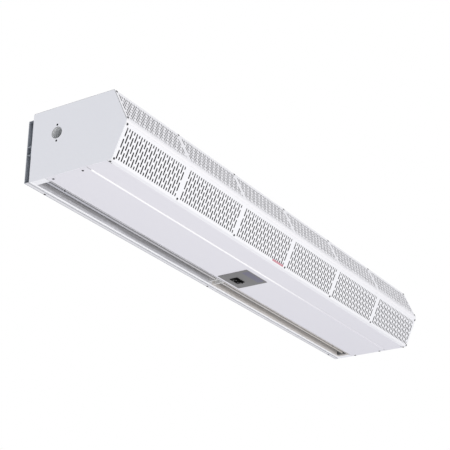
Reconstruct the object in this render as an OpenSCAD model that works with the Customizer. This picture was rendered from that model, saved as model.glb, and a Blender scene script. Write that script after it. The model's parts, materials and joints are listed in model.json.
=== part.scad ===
// Air curtain: a long casing hung above a doorway that blows a sheet of air down across it.
// Two motors each turn two blower wheels. Air comes in through the slotted screens of the
// front and leaves by the nozzle along the rear of the underside, past two tilting vanes.
// The casing sits on a channel bolted to the wall.
//
// X runs along the casing, -Y points to the room and +Z up. The origin is on the wall, at the
// centre of the wall bolts. A place in the casing is given as a depth, from its back to the
// room, and a height above its underside.

/* [Casing] */
// Length of the casing
casing_l = 1829; // [1700:1:2000]
// Height of the casing
casing_h = 213; // [208:1:225]
// Depth of the top
top_depth = 282; // [274:1:292]
// Depth of the underside
bottom_depth = 284; // [278:1:294]
// Depth at the nose, where the two screens meet
nose_depth = 330; // [322:1:340]
// Height of the nose
nose_z = 107; // [100:1:114]
// Outer radius of the bend at the nose
nose_r = 14; // [9:1:17]
// Thickness of the casing's sheet
sheet_t = 1.5; // [1.2:0.1:1.8]
// Outer radius of the casing's other bends
bend_r = 3; // [2.5:0.1:3.5]
// Width of the end panels' flanges on the underside
flange_w = 21.5; // [18:0.5:24]
// Width of the end panels' flanges behind the screens
slope_flange_w = 10; // [9:0.5:11]

/* [Intake screens] */
// Number of slotted bays
bays = 6; // [5:1:7]
// Width of a slot
slot_w = 4.8; // [3.8:0.1:5.4]
// Length of a full slot
slot_l = 26.2; // [24:0.1:27]
// Gap between the slots of a column
slot_gap = 6.4; // [5.4:0.1:7]
// Distance from one column to the next
column_pitch = 11.05; // [10:0.05:13]
// Least plain width between two bays
bay_margin = 20; // [16:1:24]
// Plain width from the nose up to the upper screen's slots
upper_margin = 13; // [12:0.5:14]
// Plain width from the nose down to the lower screen's slots
lower_margin = 17.5; // [14:0.5:18]

/* [Underside] */
// Width of the lip behind the nozzle
rear_lip = 9; // [7:0.5:10]
// Width of the nozzle's mouth
nozzle_w = 46; // [43:1:50]
// Depth of the access panel
access_w = 139; // [130:1:145]
// Gap between the access panel and the front strip
panel_gap = 2.2; // [2:0.1:2.8]
// Width of the lower screen's lip on the underside
screen_lip = 13; // [10:0.5:16]

/* [Controls] */
// Length of the control plate
plate_l = 130; // [120:1:145]
// Width of the control plate
plate_w = 111; // [104:1:116]
// Thickness of the control plate
plate_t = 1; // [0.8:0.1:1.5]
// Length of a switch's bezel
bezel_l = 29; // [28.5:0.5:34]
// Width of a switch's bezel
bezel_w = 22; // [21:0.5:25]
// Gap between the bezels of the two switches
switch_gap = 4; // [3:0.5:12]
// Tilt of a rocker from its middle to either side
rocker_tilt = 12; // [8:1:13]

/* [Vanes] */
// Height of a vane
vane_h = 44; // [36:1:46]
// Greatest thickness of a vane
vane_t = 7; // [5:0.5:8]
// Radius of a vane's pivot pin
pivot_r = 2.5; // [2:0.1:3]

/* [Blowers] */
// Height of the deck that the blowers stand on
deck_z = 58; // [54:1:62]
// Width of a blower wheel
wheel_w = 200; // [180:1:204]
// Number of blades on a wheel
blades = 32; // [24:1:36]
// Width of a blower housing
housing_w = 220; // [214:1:230]
// Gap between wheel and housing at the cut-off
cutoff_gap = 5; // [4:0.5:6]
// Growth of the scroll's radius over one turn
scroll_growth = 35; // [30:0.5:37]
// Gap between a motor and the deck
motor_gap = 8; // [5:0.5:12]
// Length of a motor's body
motor_l = 150; // [130:1:160]
// Radius of a motor's shaft
shaft_r = 6; // [5:0.5:8]

/* [Wall bracket] */
// Distance from the wall to the casing's back
standoff = 17; // [16:0.5:22]
// Distance from the top of the casing down to the top of the wall channel
bracket_drop = 18; // [16:1:25]
// Thickness of the wall channel
bracket_t = 2; // [1.8:0.1:2.5]
// Height of the spacer rail's foot
rail_z = 86; // [80:1:92]
// Width of the spacer rail
rail_w = 27; // [22:1:32]
// Distance of the wall bolts from the ends of the wall channel
bolt_inset = 101.7; // [60:0.1:140]
// Spacing of the wall bolts up the wall
bolt_rise = 120; // [110:1:130]
// Radius of the wall bolt holes
bolt_r = 5.5; // [4.5:0.1:6.5]

/* [Hanging nuts] */
// Radius of the tapped holes in the top
hang_r = 4; // [3:0.1:5]
// Distance of the hanging nuts from the casing's ends
hang_inset = 70; // [50:1:85]
// Distance of the front hanging nuts from the top's front edge
hang_front = 52; // [46:1:62]

/* [Hidden] */

// How far a cut runs past what it cuts
over = 1;
// Gap between two sheets that lap or meet
seam = 0.2;
// Running gap around a pin in its hole
running = 0.05;
// Steps of a sheet's bend, and sides of a small round
bend_steps = 4;
small_fn = 24;
round_fn = 72;

// Colours
white = [0.93, 0.93, 0.94];
zinc = [0.66, 0.68, 0.70];
grey = [0.42, 0.43, 0.44];
black = [0.06, 0.06, 0.07];
steel = [0.55, 0.56, 0.58];
motor_grey = [0.30, 0.32, 0.35];
cream = [0.80, 0.78, 0.70];

// The wall channel's height and its bolts' spacing along the wall
bracket_h = casing_h - bracket_drop;
bolt_span = casing_l - 2 * bolt_inset;
// The height of the origin above the casing's underside
mount_z = bracket_h / 2;

// The casing's outline, from the rear foot round over the top to the front foot
outline = [[0, 0], [0, casing_h], [top_depth, casing_h], [nose_depth, nose_z], [bottom_depth, 0]];
outline_r = [bend_r, bend_r, bend_r, nose_r, bend_r];
top_front = outline[2];
nose = outline[3];
bottom_front = outline[4];
down_upper = unit(nose - top_front);
down_lower = unit(bottom_front - nose);
upper_l = norm(nose - top_front);
lower_l = norm(bottom_front - nose);
// How far a sheet behind another lies from the outline
lap = sheet_t + seam;
// How far the bends at the nose and the front foot reach along their slopes
nose_reach = nose_r * tan(turn(top_front, nose, bottom_front) / 2);
foot_reach = bend_r * tan(turn(nose, bottom_front, outline[0]) / 2);
// Flat width kept beside a bend
bend_land = 1;
// The upper screen's lap below the nose
nose_lap = nose_reach + bend_land;

// Lengths between the end panels, and between their flanges
between_ends = casing_l - 2 * sheet_t;
screen_length = between_ends - 2 * seam;
between_flanges = between_ends - 2 * flange_w - 2 * seam;

// The bays and the columns of slots in them
bay_pitch = casing_l / bays;
bay_shift = 1.5;
columns = floor((bay_pitch - bay_margin - slot_w) / column_pitch) + 1;
slot_rows = 3;
field_h = slot_rows * slot_l + (slot_rows - 1) * slot_gap;
short_l = (slot_l - slot_gap) / 2;
bay_middles = [for (i = [0:bays - 1]) (i - (bays - 1) / 2) * bay_pitch + bay_shift];

// The screw lines at the two ends, and between two bays
end_screw_insets = [8, 4.5];
screw_lines = [-casing_l / 2 + end_screw_insets[0],
               for (i = [1:bays - 1]) (i - bays / 2) * bay_pitch + bay_shift,
               casing_l / 2 - end_screw_insets[1]];

// The underside from rear to front
nozzle_front = rear_lip + nozzle_w;
access_gap = 3;
access_rear = nozzle_front + access_gap;
access_front = access_rear + access_w;
strip_rear = access_front + panel_gap;
lip_rear = bottom_depth - screen_lip;
turn_up = 12;

// The lips that the screens are screwed to
shell_lip = 11;
strip_lip = 10;
stay_w = 18;
stay_gap = 3;
joggle_run = 2.5;

// Sheet screws
head_r = 3.4;
head_h = 1.6;
head_top_share = 0.72;
shank_r = 1.8;
shank_l = 7;
top_screw_s = 5;
foot_screw_s = 5.5;
nose_screw_s = 11;
lip_screw_d = 10;
panel_screw_rear = 16;
panel_screw_front = 21;
panel_screw_depths = [access_rear + panel_screw_rear, access_front - panel_screw_front];
panel_screw_insets = [15.8, 5.2];
bracket_screw_d = 11;
bracket_screw_shares = [-0.4554, 0.0034, 0.466];

// The round port in the left end panel, and the two holes beside it
port_d = 88;
port_z = 132;
port_r = 18;
port_hole_r = 3.3;
port_hole_rise = 24.7;

// The blowers
housing_t = 1.2;
start_angle = 226;
foot_angle = 270;
top_angle = 450;
end_angle = 540;
step_angle = 8;
angle_slack = 1;
housing_top_gap = 2.5;
housing_back_gap = 4;
inlet_r_share = 0.8;
inlet_bead_r = 1.8;
outlet_flange = 9;
scroll_turns_share = (top_angle + foot_angle - 2 * start_angle) / 360;
scroll_room = casing_h - sheet_t - housing_top_gap - deck_z - seam - 2 * housing_t;
wheel_r = (scroll_room - 2 * cutoff_gap - scroll_growth * scroll_turns_share) / 2;
inlet_r = wheel_r * inlet_r_share;
axis_d = sheet_t + housing_back_gap + housing_t + scroll_r(end_angle);
axis_z = deck_z + seam + housing_t + scroll_r(foot_angle);
tongue = [axis_d, axis_z] + scroll_r(start_angle) * [cos(start_angle), sin(start_angle)];
duct_rear = axis_d - scroll_r(end_angle);
motor_x = casing_l / 4;
blower_gap = 35;
blower_offset = motor_l / 2 + blower_gap + housing_w / 2;
blower_x = [-motor_x - blower_offset, -motor_x + blower_offset,
            motor_x - blower_offset, motor_x + blower_offset];

// The wheels
blade_in_share = 0.83;
blade_steps = 4;
blade_sweep_angle = 9;
blade_t = 0.8;
rim_t = 1.6;
rim_over = 0.6;
disc_t = 1.5;
hub_r = 15;
hub_l = 28;
shaft_over = 6;

// The motors and what carries them
bell_l = 14;
bell_r_share = 0.8;
boss_r = 18;
boss_l = 14;
ring_t = 6;
ring_l = 10;
ring_inset = 2;
fin_h = 2;
fin_w = 4;
fins = 5;
motor_r = axis_z - deck_z - motor_gap - fin_h;
cradle_t = 1.6;
cradle_arm_t = 3;
cradle_w = 72;
cradle_top_w = 64;
strap_t = 1.4;
strap_w = 7;
strap_foot = 7;

// The deck and the nozzle
deck_turn = 15;
deck_under = deck_z - sheet_t;
nozzle_t = 1.2;
nozzle_rear = rear_lip + seam + nozzle_t;
nozzle_land = 9;
nozzle_rear_land = 5;

// The vanes and their brackets
vane_edge_t = 2;
vane_steps = 8;
groove_w = 1.5;
groove_share = -0.3;
vane_d = (nozzle_rear + nozzle_front) / 2;
vane_z = 26;
vane_bracket_w = 8;
vane_bracket_low = 5;
vane_bracket_high = 44;
vane_centre_w = 34;
vane_ear_t = 4;
vane_base_t = 2;
vane_gap = 0.6;
pin_l = 3.4;
nozzle_end = between_flanges / 2;
vane_outer = nozzle_end - nozzle_t - vane_bracket_w - vane_gap;
vane_inner = vane_centre_w / 2 + vane_gap;
vane_length = vane_outer - vane_inner;
vane_mid = (vane_outer + vane_inner) / 2;

// The control plate and its switches
plate_x = 9.8;
plate_rear_margin = 10;
plate_d = access_rear + plate_rear_margin + plate_w / 2;
cutout_margin = 14;
switch_rear = 20.5;
switch_d = plate_d - switch_rear;
switch_x = plate_x;
switch_pitch = bezel_w + switch_gap;
bezel_t = 2;
switch_wall = 1.5;
switch_depth = 22;
tag_h = 6;
well_depth = 8;
well_l = 23.6;
rocker_gap = 0.4;
rocker_half = 10.3;
rocker_end = 6;
rocker_middle = 4.4;
rocker_side = 2;
rocker_root = 4;
rocker_back = 3.2;
rocker_pin_r = 1.2;
rocker_pin_l = 1.1;
rocker_z = 0.5;
bezel_over = 1.5;
body_w = bezel_w - 2 * bezel_over;
body_l = bezel_l - 2 * bezel_over;
rocker_w = body_w - 2 * switch_wall - 2 * rocker_gap;

// The junction box, the capacitors and the motor leads
box_t = 1.2;
box_l = 150;
box_h = 44;
box_gap = 6;
lead_r = 5;
lead_gap = 0.4;
lead_z = 24;
lead_bend = 15;
lead_in = 4;
cap_r = 18;
cap_l = 64;
cap_x = 250;
cap_d = 150;
cap_rim = 1.5;
clip_t = 1;
clip_w = 14;
clip_foot = 9;

// The hanging nuts
nut_r = 9;
nut_h = 9;
hang_rear = 60;
hang_rise = top_depth - hang_rear - hang_front;

// The angles that carry the casing on the wall channel
angle_t = 1.5;
hanger_rise = 13;
lock_rise = 22;

function unit(v) = v / norm(v);
function left_of(a, b) = let (u = unit(b - a)) [-u.y, u.x];
// The angle that a path turns through at b
function turn(a, b, c) = acos(unit(b - a) * unit(c - b));
// The arc that rounds corner b of a path to radius r
function corner(a, b, c, r) =
  let (
    u = unit(a - b),
    v = unit(c - b),
    half = acos(u * v) / 2,
    centre = b + unit(u + v) * r / sin(half),
    first = b + u * r / tan(half) - centre,
    last = b + v * r / tan(half) - centre,
    start = atan2(first.y, first.x),
    sweep = (atan2(last.y, last.x) - start + 3 * 180) % 360 - 180
  )
  [for (i = [0:bend_steps]) let (angle = start + sweep * i / bend_steps)
    centre + r * [cos(angle), sin(angle)]];
// A path with its inner corners rounded
function rounded_path(p, r) =
  [p[0], for (i = [1:len(p) - 2]) each corner(p[i - 1], p[i], p[i + 1], r[i - 1]), p[len(p) - 1]];
// A closed outline with its corners rounded
function rounded_loop(p, r) =
  let (n = len(p)) [for (i = [0:n - 1]) each corner(p[(i + n - 1) % n], p[i], p[(i + 1) % n], r[i])];
// A path moved sideways, to its left where t is over zero
function offset_path(p, t) =
  let (last = len(p) - 1)
  [for (i = [0:last])
    let (
      m = left_of(p[max(i - 1, 0)], p[max(i, 1)]),
      n = left_of(p[min(i, last - 1)], p[min(i + 1, last)])
    )
    p[i] + t * (m + n) / (1 + m * n)];
// A corner of the casing's outline, moved inwards by e
function inner(i, e) =
  let (
    n = len(outline),
    m = left_of(outline[(i + n - 1) % n], outline[i]),
    k = left_of(outline[i], outline[(i + 1) % n])
  )
  outline[i] - e * (m + k) / (1 + m * k);
function same(r, n) = [for (i = [1:n]) r];
function reversed(p) = [for (i = [len(p) - 1:-1:0]) p[i]];
// The scroll's radius at an angle, measured from the front and growing with the wheel's turn
function scroll_r(angle) = wheel_r + cutoff_gap + scroll_growth * (angle - start_angle) / 360;

// Puts children at a place along the casing, a depth and a height
module at(x, d, z) translate([x, -standoff - d, z - mount_z]) children();
// Extrudes a section drawn as depth and height along the casing
module section(length, x = 0)
  at(x, 0, 0) rotate([90, 0, -90]) linear_extrude(length, center = true) children();
// Lays children on a slope of the casing, with Y down the slope and Z inwards
module on_slope(a, b) at(0, a.x, a.y) rotate([atan2(b.y - a.y, a.x - b.x), 0, 0]) children();
module on_upper() on_slope(top_front, nose) children();
module on_lower() on_slope(nose, bottom_front) children();
// Lays a round piece along the casing
module along_x() rotate([0, 90, 0]) children();
// The section of a folded sheet, with its thickness to the left of the path where t is over zero
module folded(path, r, t) {
  p = rounded_path(path, r);
  polygon(concat(p, reversed(offset_path(p, t))));
}
module disc(r, fn = small_fn) circle(r = r, $fn = fn);
module rod(r, h, fn = small_fn) cylinder(r = r, h = h, $fn = fn);
module drill(r, depth) translate([0, 0, -over]) rod(r, depth + 2 * over);

// Sheet screws: the head is outside, below Z zero, and the shank points inwards
module screw() {
  translate([0, 0, -head_h / 2]) rod(head_r, head_h / 2);
  translate([0, 0, -head_h])
    cylinder(r1 = head_r * head_top_share, r2 = head_r, h = head_h / 2, $fn = small_fn);
  translate([0, 0, -seam]) rod(shank_r, shank_l + seam);
}
module screw_hole() drill(shank_r + running, shank_l);
module upper_places() for (x = screw_lines) on_upper() translate([x, top_screw_s, 0]) children();
module lower_places() for (x = screw_lines) on_lower() translate([x, lower_l - foot_screw_s, 0]) children();
module nose_places() for (x = [screw_lines[0], screw_lines[bays]]) {
  on_upper() translate([x, upper_l - nose_screw_s, 0]) children();
  on_lower() translate([x, nose_screw_s, 0]) children();
}
module lip_places() for (x = [screw_lines[0], screw_lines[bays]])
  at(x, bottom_depth - lip_screw_d, 0) children();
module panel_places() for (i = [0, 1], d = panel_screw_depths)
  at((2 * i - 1) * (casing_l / 2 - panel_screw_insets[i]), d, 0) children();
module bracket_places() for (share = bracket_screw_shares)
  at(share * casing_l, -bracket_screw_d, 0) children();
module hang_places() for (side = [-1, 1], d = [hang_rear, hang_rear + hang_rise])
  at(side * (casing_l / 2 - hang_inset), d, casing_h) children();

// Cabinet
module cabinet_shell() color(white) {
  top_end = top_front + [lap / down_upper.y, 0];
  lip_reach = bend_r * tan(turn([0, casing_h], top_end, top_end + down_upper) / 2);
  flat_end = top_end - [lip_reach, 0];
  difference() {
    union() {
      section(between_ends)
        folded([[rear_lip, 0], outline[0], outline[1], flat_end], same(bend_r, 2), -sheet_t);
      section(between_flanges)
        folded([flat_end - [bend_r, 0], top_end, top_end + shell_lip * down_upper], [bend_r], -sheet_t);
    }
    upper_places() screw_hole();
    hang_places() translate([0, 0, -sheet_t]) drill(hang_r, sheet_t);
  }
}

module end_panel(side) color(white) difference() {
  flange_x = side * (between_ends - flange_w) / 2;
  slope_flange_x = side * (between_ends - slope_flange_w) / 2;
  union() {
    section(sheet_t, side * (casing_l - sheet_t) / 2) difference() {
      polygon(rounded_loop(outline, outline_r));
      if (side < 0) translate([port_d, port_z]) {
        disc(port_r, round_fn);
        for (s = [-1, 1]) translate([0, s * port_hole_rise]) disc(port_hole_r);
      }
    }
    section(slope_flange_w, slope_flange_x)
      folded([[access_rear, lap], inner(4, lap), inner(3, lap), inner(2, lap), inner(1, lap),
        [lap, deck_z]], [bend_r, nose_r, bend_r, bend_r], sheet_t);
    section(flange_w, flange_x) translate([access_rear, lap])
      square([lip_rear - access_rear, sheet_t]);
    section(flange_w, flange_x) translate([rear_lip + seam, 0])
      square([access_rear - access_gap / 2 - rear_lip - seam, sheet_t]);
  }
  upper_places() screw_hole();
  lower_places() screw_hole();
  nose_places() screw_hole();
  lip_places() screw_hole();
  panel_places() screw_hole();
}

// One long slot with round ends, centred
module slot(l) {
  square([slot_w, l - slot_w], center = true);
  for (s = [-1, 1]) translate([0, s * (l - slot_w) / 2]) disc(slot_w / 2);
}
// A bay's slots from Y zero, in columns that start in turn with a full and a short slot
module bay() for (c = [0:columns - 1]) translate([(c - (columns - 1) / 2) * column_pitch, 0]) {
  if (c % 2 == 0)
    for (k = [0:slot_rows - 1]) translate([0, slot_l / 2 + k * (slot_l + slot_gap)]) slot(slot_l);
  else {
    for (k = [1:slot_rows - 1]) translate([0, k * (slot_l + slot_gap) - slot_gap / 2]) slot(slot_l);
    for (y = [short_l / 2, field_h - short_l / 2]) translate([0, y]) slot(short_l);
  }
}
// A screen's flat face, from one distance down its slope to another, with slots and screw holes
module screen_face(from, to, field, holes) linear_extrude(sheet_t) difference() {
  translate([-screen_length / 2, from]) square([screen_length, to - from]);
  for (i = [0:bays - 1]) translate([bay_middles[i], field]) bay();
  for (x = screw_lines) translate([x, holes[0]]) disc(shank_r + running);
  for (x = [screw_lines[0], screw_lines[bays]]) translate([x, holes[1]]) disc(shank_r + running);
}
// The bend at a screen's lower edge, from the end of its face to a length past the corner
module screen_bend(from, to, past, angle, r) rotate([90, 0, 90]) linear_extrude(screen_length, center = true)
  folded([[from - seam, 0], [to, 0], [to, 0] + past * [cos(angle), sin(angle)]], [r], sheet_t);
module intake_screen_upper() color(white) on_upper() {
  face_end = upper_l - nose_reach - bend_land;
  screen_face(0, face_end, upper_l - upper_margin - field_h, [top_screw_s, upper_l - nose_screw_s]);
  screen_bend(face_end, upper_l, nose_lap, turn(top_front, nose, bottom_front), nose_r);
}
module intake_screen_lower() color(white) {
  face_end = lower_l - foot_reach - bend_land;
  on_lower() screen_face(nose_lap + seam, face_end, lower_margin, [lower_l - foot_screw_s, nose_screw_s]);
  difference() {
    on_lower() screen_bend(face_end, lower_l, screen_lip, turn(nose, bottom_front, outline[0]), bend_r);
    lip_places() screw_hole();
  }
}
module screen_stays() color(zinc) for (i = [1:bays - 1]) section(stay_w, screw_lines[i])
  folded([inner(2, lap) + (shell_lip + stay_gap) * down_upper, inner(3, lap),
    inner(4, lap) - (strip_lip + stay_gap) * down_lower], [nose_r], -sheet_t);

module front_strip() color(white) difference() {
  union() {
    section(between_flanges)
      folded([[strip_rear, turn_up], [strip_rear, 0], [lip_rear - joggle_run - seam, 0],
        [lip_rear - seam, lap], inner(4, lap), inner(4, lap) - strip_lip * down_lower],
        [bend_r, bend_r, bend_r - sheet_t, bend_r], sheet_t);
    for (side = [-1, 1]) section(flange_w, side * (screen_length - flange_w) / 2)
      translate([strip_rear, 0]) square([lip_rear - seam - joggle_run - strip_rear, sheet_t]);
  }
  lower_places() screw_hole();
}

module access_panel() color(white) difference() {
  union() {
    section(between_flanges)
      folded([[access_rear, turn_up], [access_rear, 0], [access_front, 0], [access_front, turn_up]],
        same(bend_r, 2), sheet_t);
    for (side = [-1, 1]) section(flange_w + seam, side * (screen_length - flange_w - seam) / 2)
      translate([access_rear, 0]) square([access_w, sheet_t]);
  }
  panel_places() screw_hole();
  at(plate_x, plate_d, 0)
    cube([plate_l - 2 * cutout_margin, plate_w - 2 * cutout_margin, 2 * bend_r], center = true);
}

// Controls
switch_places = [switch_x - switch_pitch / 2, switch_x + switch_pitch / 2];
module control_plate() color(grey) difference() {
  at(plate_x, plate_d, -plate_t / 2) cube([plate_l, plate_w, plate_t], center = true);
  for (x = switch_places) at(x, switch_d, -plate_t / 2)
    cube([body_w + 2 * seam, body_l + 2 * seam, 2 * plate_t], center = true);
}
module switch_body(x) color(black) difference() {
  union() {
    at(x, switch_d, -plate_t - bezel_t / 2) cube([bezel_w, bezel_l, bezel_t], center = true);
    at(x, switch_d, (switch_depth - plate_t) / 2)
      cube([body_w, body_l, switch_depth + plate_t], center = true);
    for (s = [-1, 1]) at(x, switch_d + s * body_l / 4, switch_depth + tag_h / 2)
      cube([body_w / 3, plate_t, tag_h], center = true);
  }
  at(x, switch_d, (well_depth - plate_t - bezel_t) / 2 - over / 2)
    cube([body_w - 2 * switch_wall, well_l, well_depth + plate_t + bezel_t + over], center = true);
  at(x, switch_d, rocker_z) along_x()
    cylinder(r = rocker_pin_r + running, h = body_w - switch_wall + rocker_pin_l / 2, center = true,
      $fn = small_fn);
}
// The rocker rests tilted to its off side
module rocker(x) color(black) at(x, switch_d, rocker_z) rotate([rocker_tilt, 0, 0]) {
  rotate([90, 0, -90]) linear_extrude(rocker_w, center = true)
    polygon([[-rocker_half, -rocker_end], [0, -rocker_middle], [rocker_half, -rocker_end],
      [rocker_half, -rocker_side], [rocker_root, rocker_back], [-rocker_root, rocker_back],
      [-rocker_half, -rocker_side]]);
  along_x() cylinder(r = rocker_pin_r, h = body_w - 2 * switch_wall + rocker_pin_l, center = true,
    $fn = small_fn);
}
module junction_box() color(zinc) difference() {
  box_w = access_w - 2 * box_gap;
  at(plate_x, access_rear + access_w / 2, sheet_t + box_h / 2) cube([box_l, box_w, box_h], center = true);
  at(plate_x, access_rear + access_w / 2, sheet_t + (box_h - box_t - over) / 2)
    cube([box_l - 2 * box_t, box_w - 2 * box_t, box_h - box_t + over], center = true);
  for (s = [-1, 1]) at(plate_x + s * box_l / 2, axis_d, lead_z) along_x()
    cylinder(r = lead_r + lead_gap, h = 2 * turn_up, center = true, $fn = small_fn);
}

// Capacitors under the deck, each in its clip
cap_z = deck_under - clip_t - cap_r - running;
module capacitor(side) color(zinc) at(side * cap_x, cap_d, cap_z) along_x() {
  cylinder(r = cap_r, h = cap_l, center = true, $fn = round_fn);
  cylinder(r = cap_r - cap_rim, h = cap_l + 2 * cap_rim, center = true, $fn = round_fn);
  for (s = [-1, 1]) translate([s * cap_r / 3, 0, side * -(cap_l / 2 + cap_rim)])
    cube([cap_rim, 3 * cap_rim, 4 * cap_rim], center = true);
}
module capacitor_clips() color(zinc) for (side = [-1, 1]) section(clip_w, side * cap_x) difference() {
  union() {
    translate([cap_d, cap_z]) disc(cap_r + clip_t, round_fn);
    translate([cap_d - cap_r - clip_foot, deck_under - clip_t]) square([2 * (cap_r + clip_foot), clip_t]);
  }
  translate([cap_d, cap_z]) disc(cap_r + running, round_fn);
}

// Motors, each with a shaft end to both sides
module motor(side) color(motor_grey) difference() {
  at(side * motor_x, axis_d, axis_z) along_x() {
    body = motor_l / 2 - bell_l;
    rotate_extrude($fn = round_fn)
      polygon([[0, -motor_l / 2 - boss_l], [boss_r, -motor_l / 2 - boss_l], [boss_r, -motor_l / 2],
        [motor_r * bell_r_share, -motor_l / 2], [motor_r, -body], [motor_r, body],
        [motor_r * bell_r_share, motor_l / 2], [boss_r, motor_l / 2], [boss_r, motor_l / 2 + boss_l],
        [0, motor_l / 2 + boss_l]]);
    for (k = [0:fins - 1]) translate([0, 0, (k - (fins - 1) / 2) * body * 2 / fins])
      cylinder(r = motor_r + fin_h, h = fin_w, center = true, $fn = round_fn);
  }
  at(side * motor_x, axis_d, axis_z) along_x()
    cylinder(r = shaft_r + running, h = motor_l * 2, center = true, $fn = round_fn);
}
ring_x = motor_l / 2 + ring_inset + ring_l / 2;
ring_r = boss_r + ring_t;
module motor_rings(side) color(black) for (s = [-1, 1])
  at(side * motor_x + s * ring_x, axis_d, axis_z) along_x() difference() {
    cylinder(r = ring_r, h = ring_l, center = true, $fn = round_fn);
    cylinder(r = boss_r + running, h = 2 * ring_l, center = true, $fn = round_fn);
  }
module motor_cradle(side) color(zinc) difference() {
  union() {
    at(side * motor_x, axis_d, deck_z + cradle_t / 2)
      cube([2 * ring_x + cradle_arm_t, cradle_w, cradle_t], center = true);
    for (s = [-1, 1]) section(cradle_arm_t, side * motor_x + s * ring_x) difference() {
      polygon([[axis_d - cradle_w / 2, deck_z], [axis_d + cradle_w / 2, deck_z],
        [axis_d + cradle_top_w / 2, axis_z], [axis_d - cradle_top_w / 2, axis_z]]);
      translate([axis_d, axis_z]) disc(ring_r + running, round_fn);
    }
  }
  at(side * motor_x, axis_d, deck_z) drill(lead_r + lead_gap, cradle_t);
}
module motor_straps(side) color(zinc) for (s = [-1, 1]) section(strap_w, side * motor_x + s * ring_x) {
  strap_r = ring_r + strap_t;
  difference() {
    translate([axis_d, axis_z]) disc(strap_r, round_fn);
    translate([axis_d, axis_z]) disc(ring_r + running, round_fn);
    translate([axis_d - strap_r - over, axis_z - strap_r - over])
      square([2 * (strap_r + over), strap_r + over]);
  }
  for (k = [-1, 1]) translate([axis_d + k * (ring_r + strap_foot / 2), axis_z + strap_t / 2])
    square([strap_foot, strap_t], center = true);
}
module shaft(side) color(steel) at(side * motor_x, axis_d, axis_z) along_x()
  cylinder(r = shaft_r, h = 2 * (blower_offset + hub_l / 2 + shaft_over), center = true, $fn = round_fn);

// The air side of a blower's scroll and outlet, grown by e
function scroll_loop(e) =
  let (
    first = 360 - acos((tongue.x + e - axis_d) / (scroll_r(start_angle) + e)),
    angles = [first, each [start_angle + step_angle:step_angle:end_angle - angle_slack]]
  )
  concat([for (a = angles) [axis_d, axis_z] + (scroll_r(a) + e) * [cos(a), sin(a)]],
    [[duct_rear - e, axis_z], [duct_rear - e, deck_z], [tongue.x + e, deck_z]]);
module blower_housing(i) color(zinc) {
  x = blower_x[i];
  section(housing_w, x) difference() {
    polygon(scroll_loop(housing_t));
    translate([0, -seam]) polygon(scroll_loop(0));
    translate([duct_rear, deck_z - seam - over]) square([tongue.x - duct_rear, over + 2 * seam]);
  }
  for (s = [-1, 1]) {
    section(housing_t, x + s * (housing_w - housing_t) / 2) difference() {
      polygon(scroll_loop(housing_t));
      translate([axis_d, axis_z]) disc(inlet_r, round_fn);
    }
    at(x + s * (housing_w - housing_t) / 2, axis_d, axis_z) along_x()
      rotate_extrude($fn = round_fn) translate([inlet_r, 0]) disc(inlet_bead_r);
    at(x + s * (housing_w + outlet_flange - housing_t) / 2, (tongue.x + duct_rear) / 2,
      deck_z + housing_t / 2)
      cube([outlet_flange + housing_t, tongue.x - duct_rear, housing_t], center = true);
  }
}

// A forward-curved blade's section, at an angle round the wheel
blade_in = wheel_r * blade_in_share;
function blade_path(angle) = [for (i = [0:blade_steps])
  let (s = i / blade_steps, a = angle + blade_sweep_angle * s * s)
  (blade_in + (wheel_r - blade_in) * s) * [cos(a), sin(a)]];
module blade(angle) {
  p = blade_path(angle);
  polygon(concat(p, reversed(offset_path(p, blade_t))));
}
module blower_wheel(i) color(zinc) difference() {
  union() {
    section(wheel_w, blower_x[i]) translate([axis_d, axis_z])
      for (k = [0:blades - 1]) blade(k * 360 / blades);
    for (s = [-1, 1]) section(rim_t, blower_x[i] + s * (wheel_w - rim_t) / 2) translate([axis_d, axis_z])
      difference() {
        disc(wheel_r + rim_over, round_fn);
        disc(blade_in - rim_over, round_fn);
      }
    at(blower_x[i], axis_d, axis_z) along_x() {
      cylinder(r = wheel_r - rim_over, h = disc_t, center = true, $fn = round_fn);
      cylinder(r = hub_r, h = hub_l, center = true, $fn = round_fn);
    }
  }
  at(blower_x[i], axis_d, axis_z) along_x()
    cylinder(r = shaft_r + running, h = 2 * hub_l, center = true, $fn = round_fn);
}

// Deck, nozzle and vanes
module blower_deck() color(zinc) {
  rear = lap + sheet_t;
  front = strip_rear - (panel_gap - sheet_t) / 2;
  difference() {
    section(between_flanges)
      folded([[rear, deck_z + deck_turn], [rear, deck_z], [front, deck_z], [front, seam]],
        [bend_r - sheet_t, bend_r], -sheet_t);
    for (x = blower_x) at(x, (duct_rear + tongue.x) / 2, deck_z)
      cube([housing_w - 2 * housing_t, tongue.x - duct_rear - 2 * nozzle_t, 4 * sheet_t], center = true);
    for (side = [-1, 1]) at(side * motor_x, axis_d, deck_under) drill(lead_r + lead_gap, sheet_t);
  }
}
module nozzle(side) color(zinc) {
  length = nozzle_end - seam / 2;
  x = side * (nozzle_end + seam / 2) / 2;
  section(length, x)
    folded([[nozzle_rear, 0], [nozzle_rear, deck_under], [nozzle_rear - nozzle_rear_land, deck_under]],
      [nozzle_t * 2], nozzle_t);
  section(length, x)
    folded([[nozzle_front, 0], [nozzle_front, deck_under], [nozzle_front + nozzle_land, deck_under]],
      [nozzle_t * 2], -nozzle_t);
  section(nozzle_t, side * (nozzle_end - nozzle_t / 2)) translate([nozzle_rear - nozzle_t, 0])
    square([nozzle_front - nozzle_rear + 2 * nozzle_t, deck_under]);
}
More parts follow.
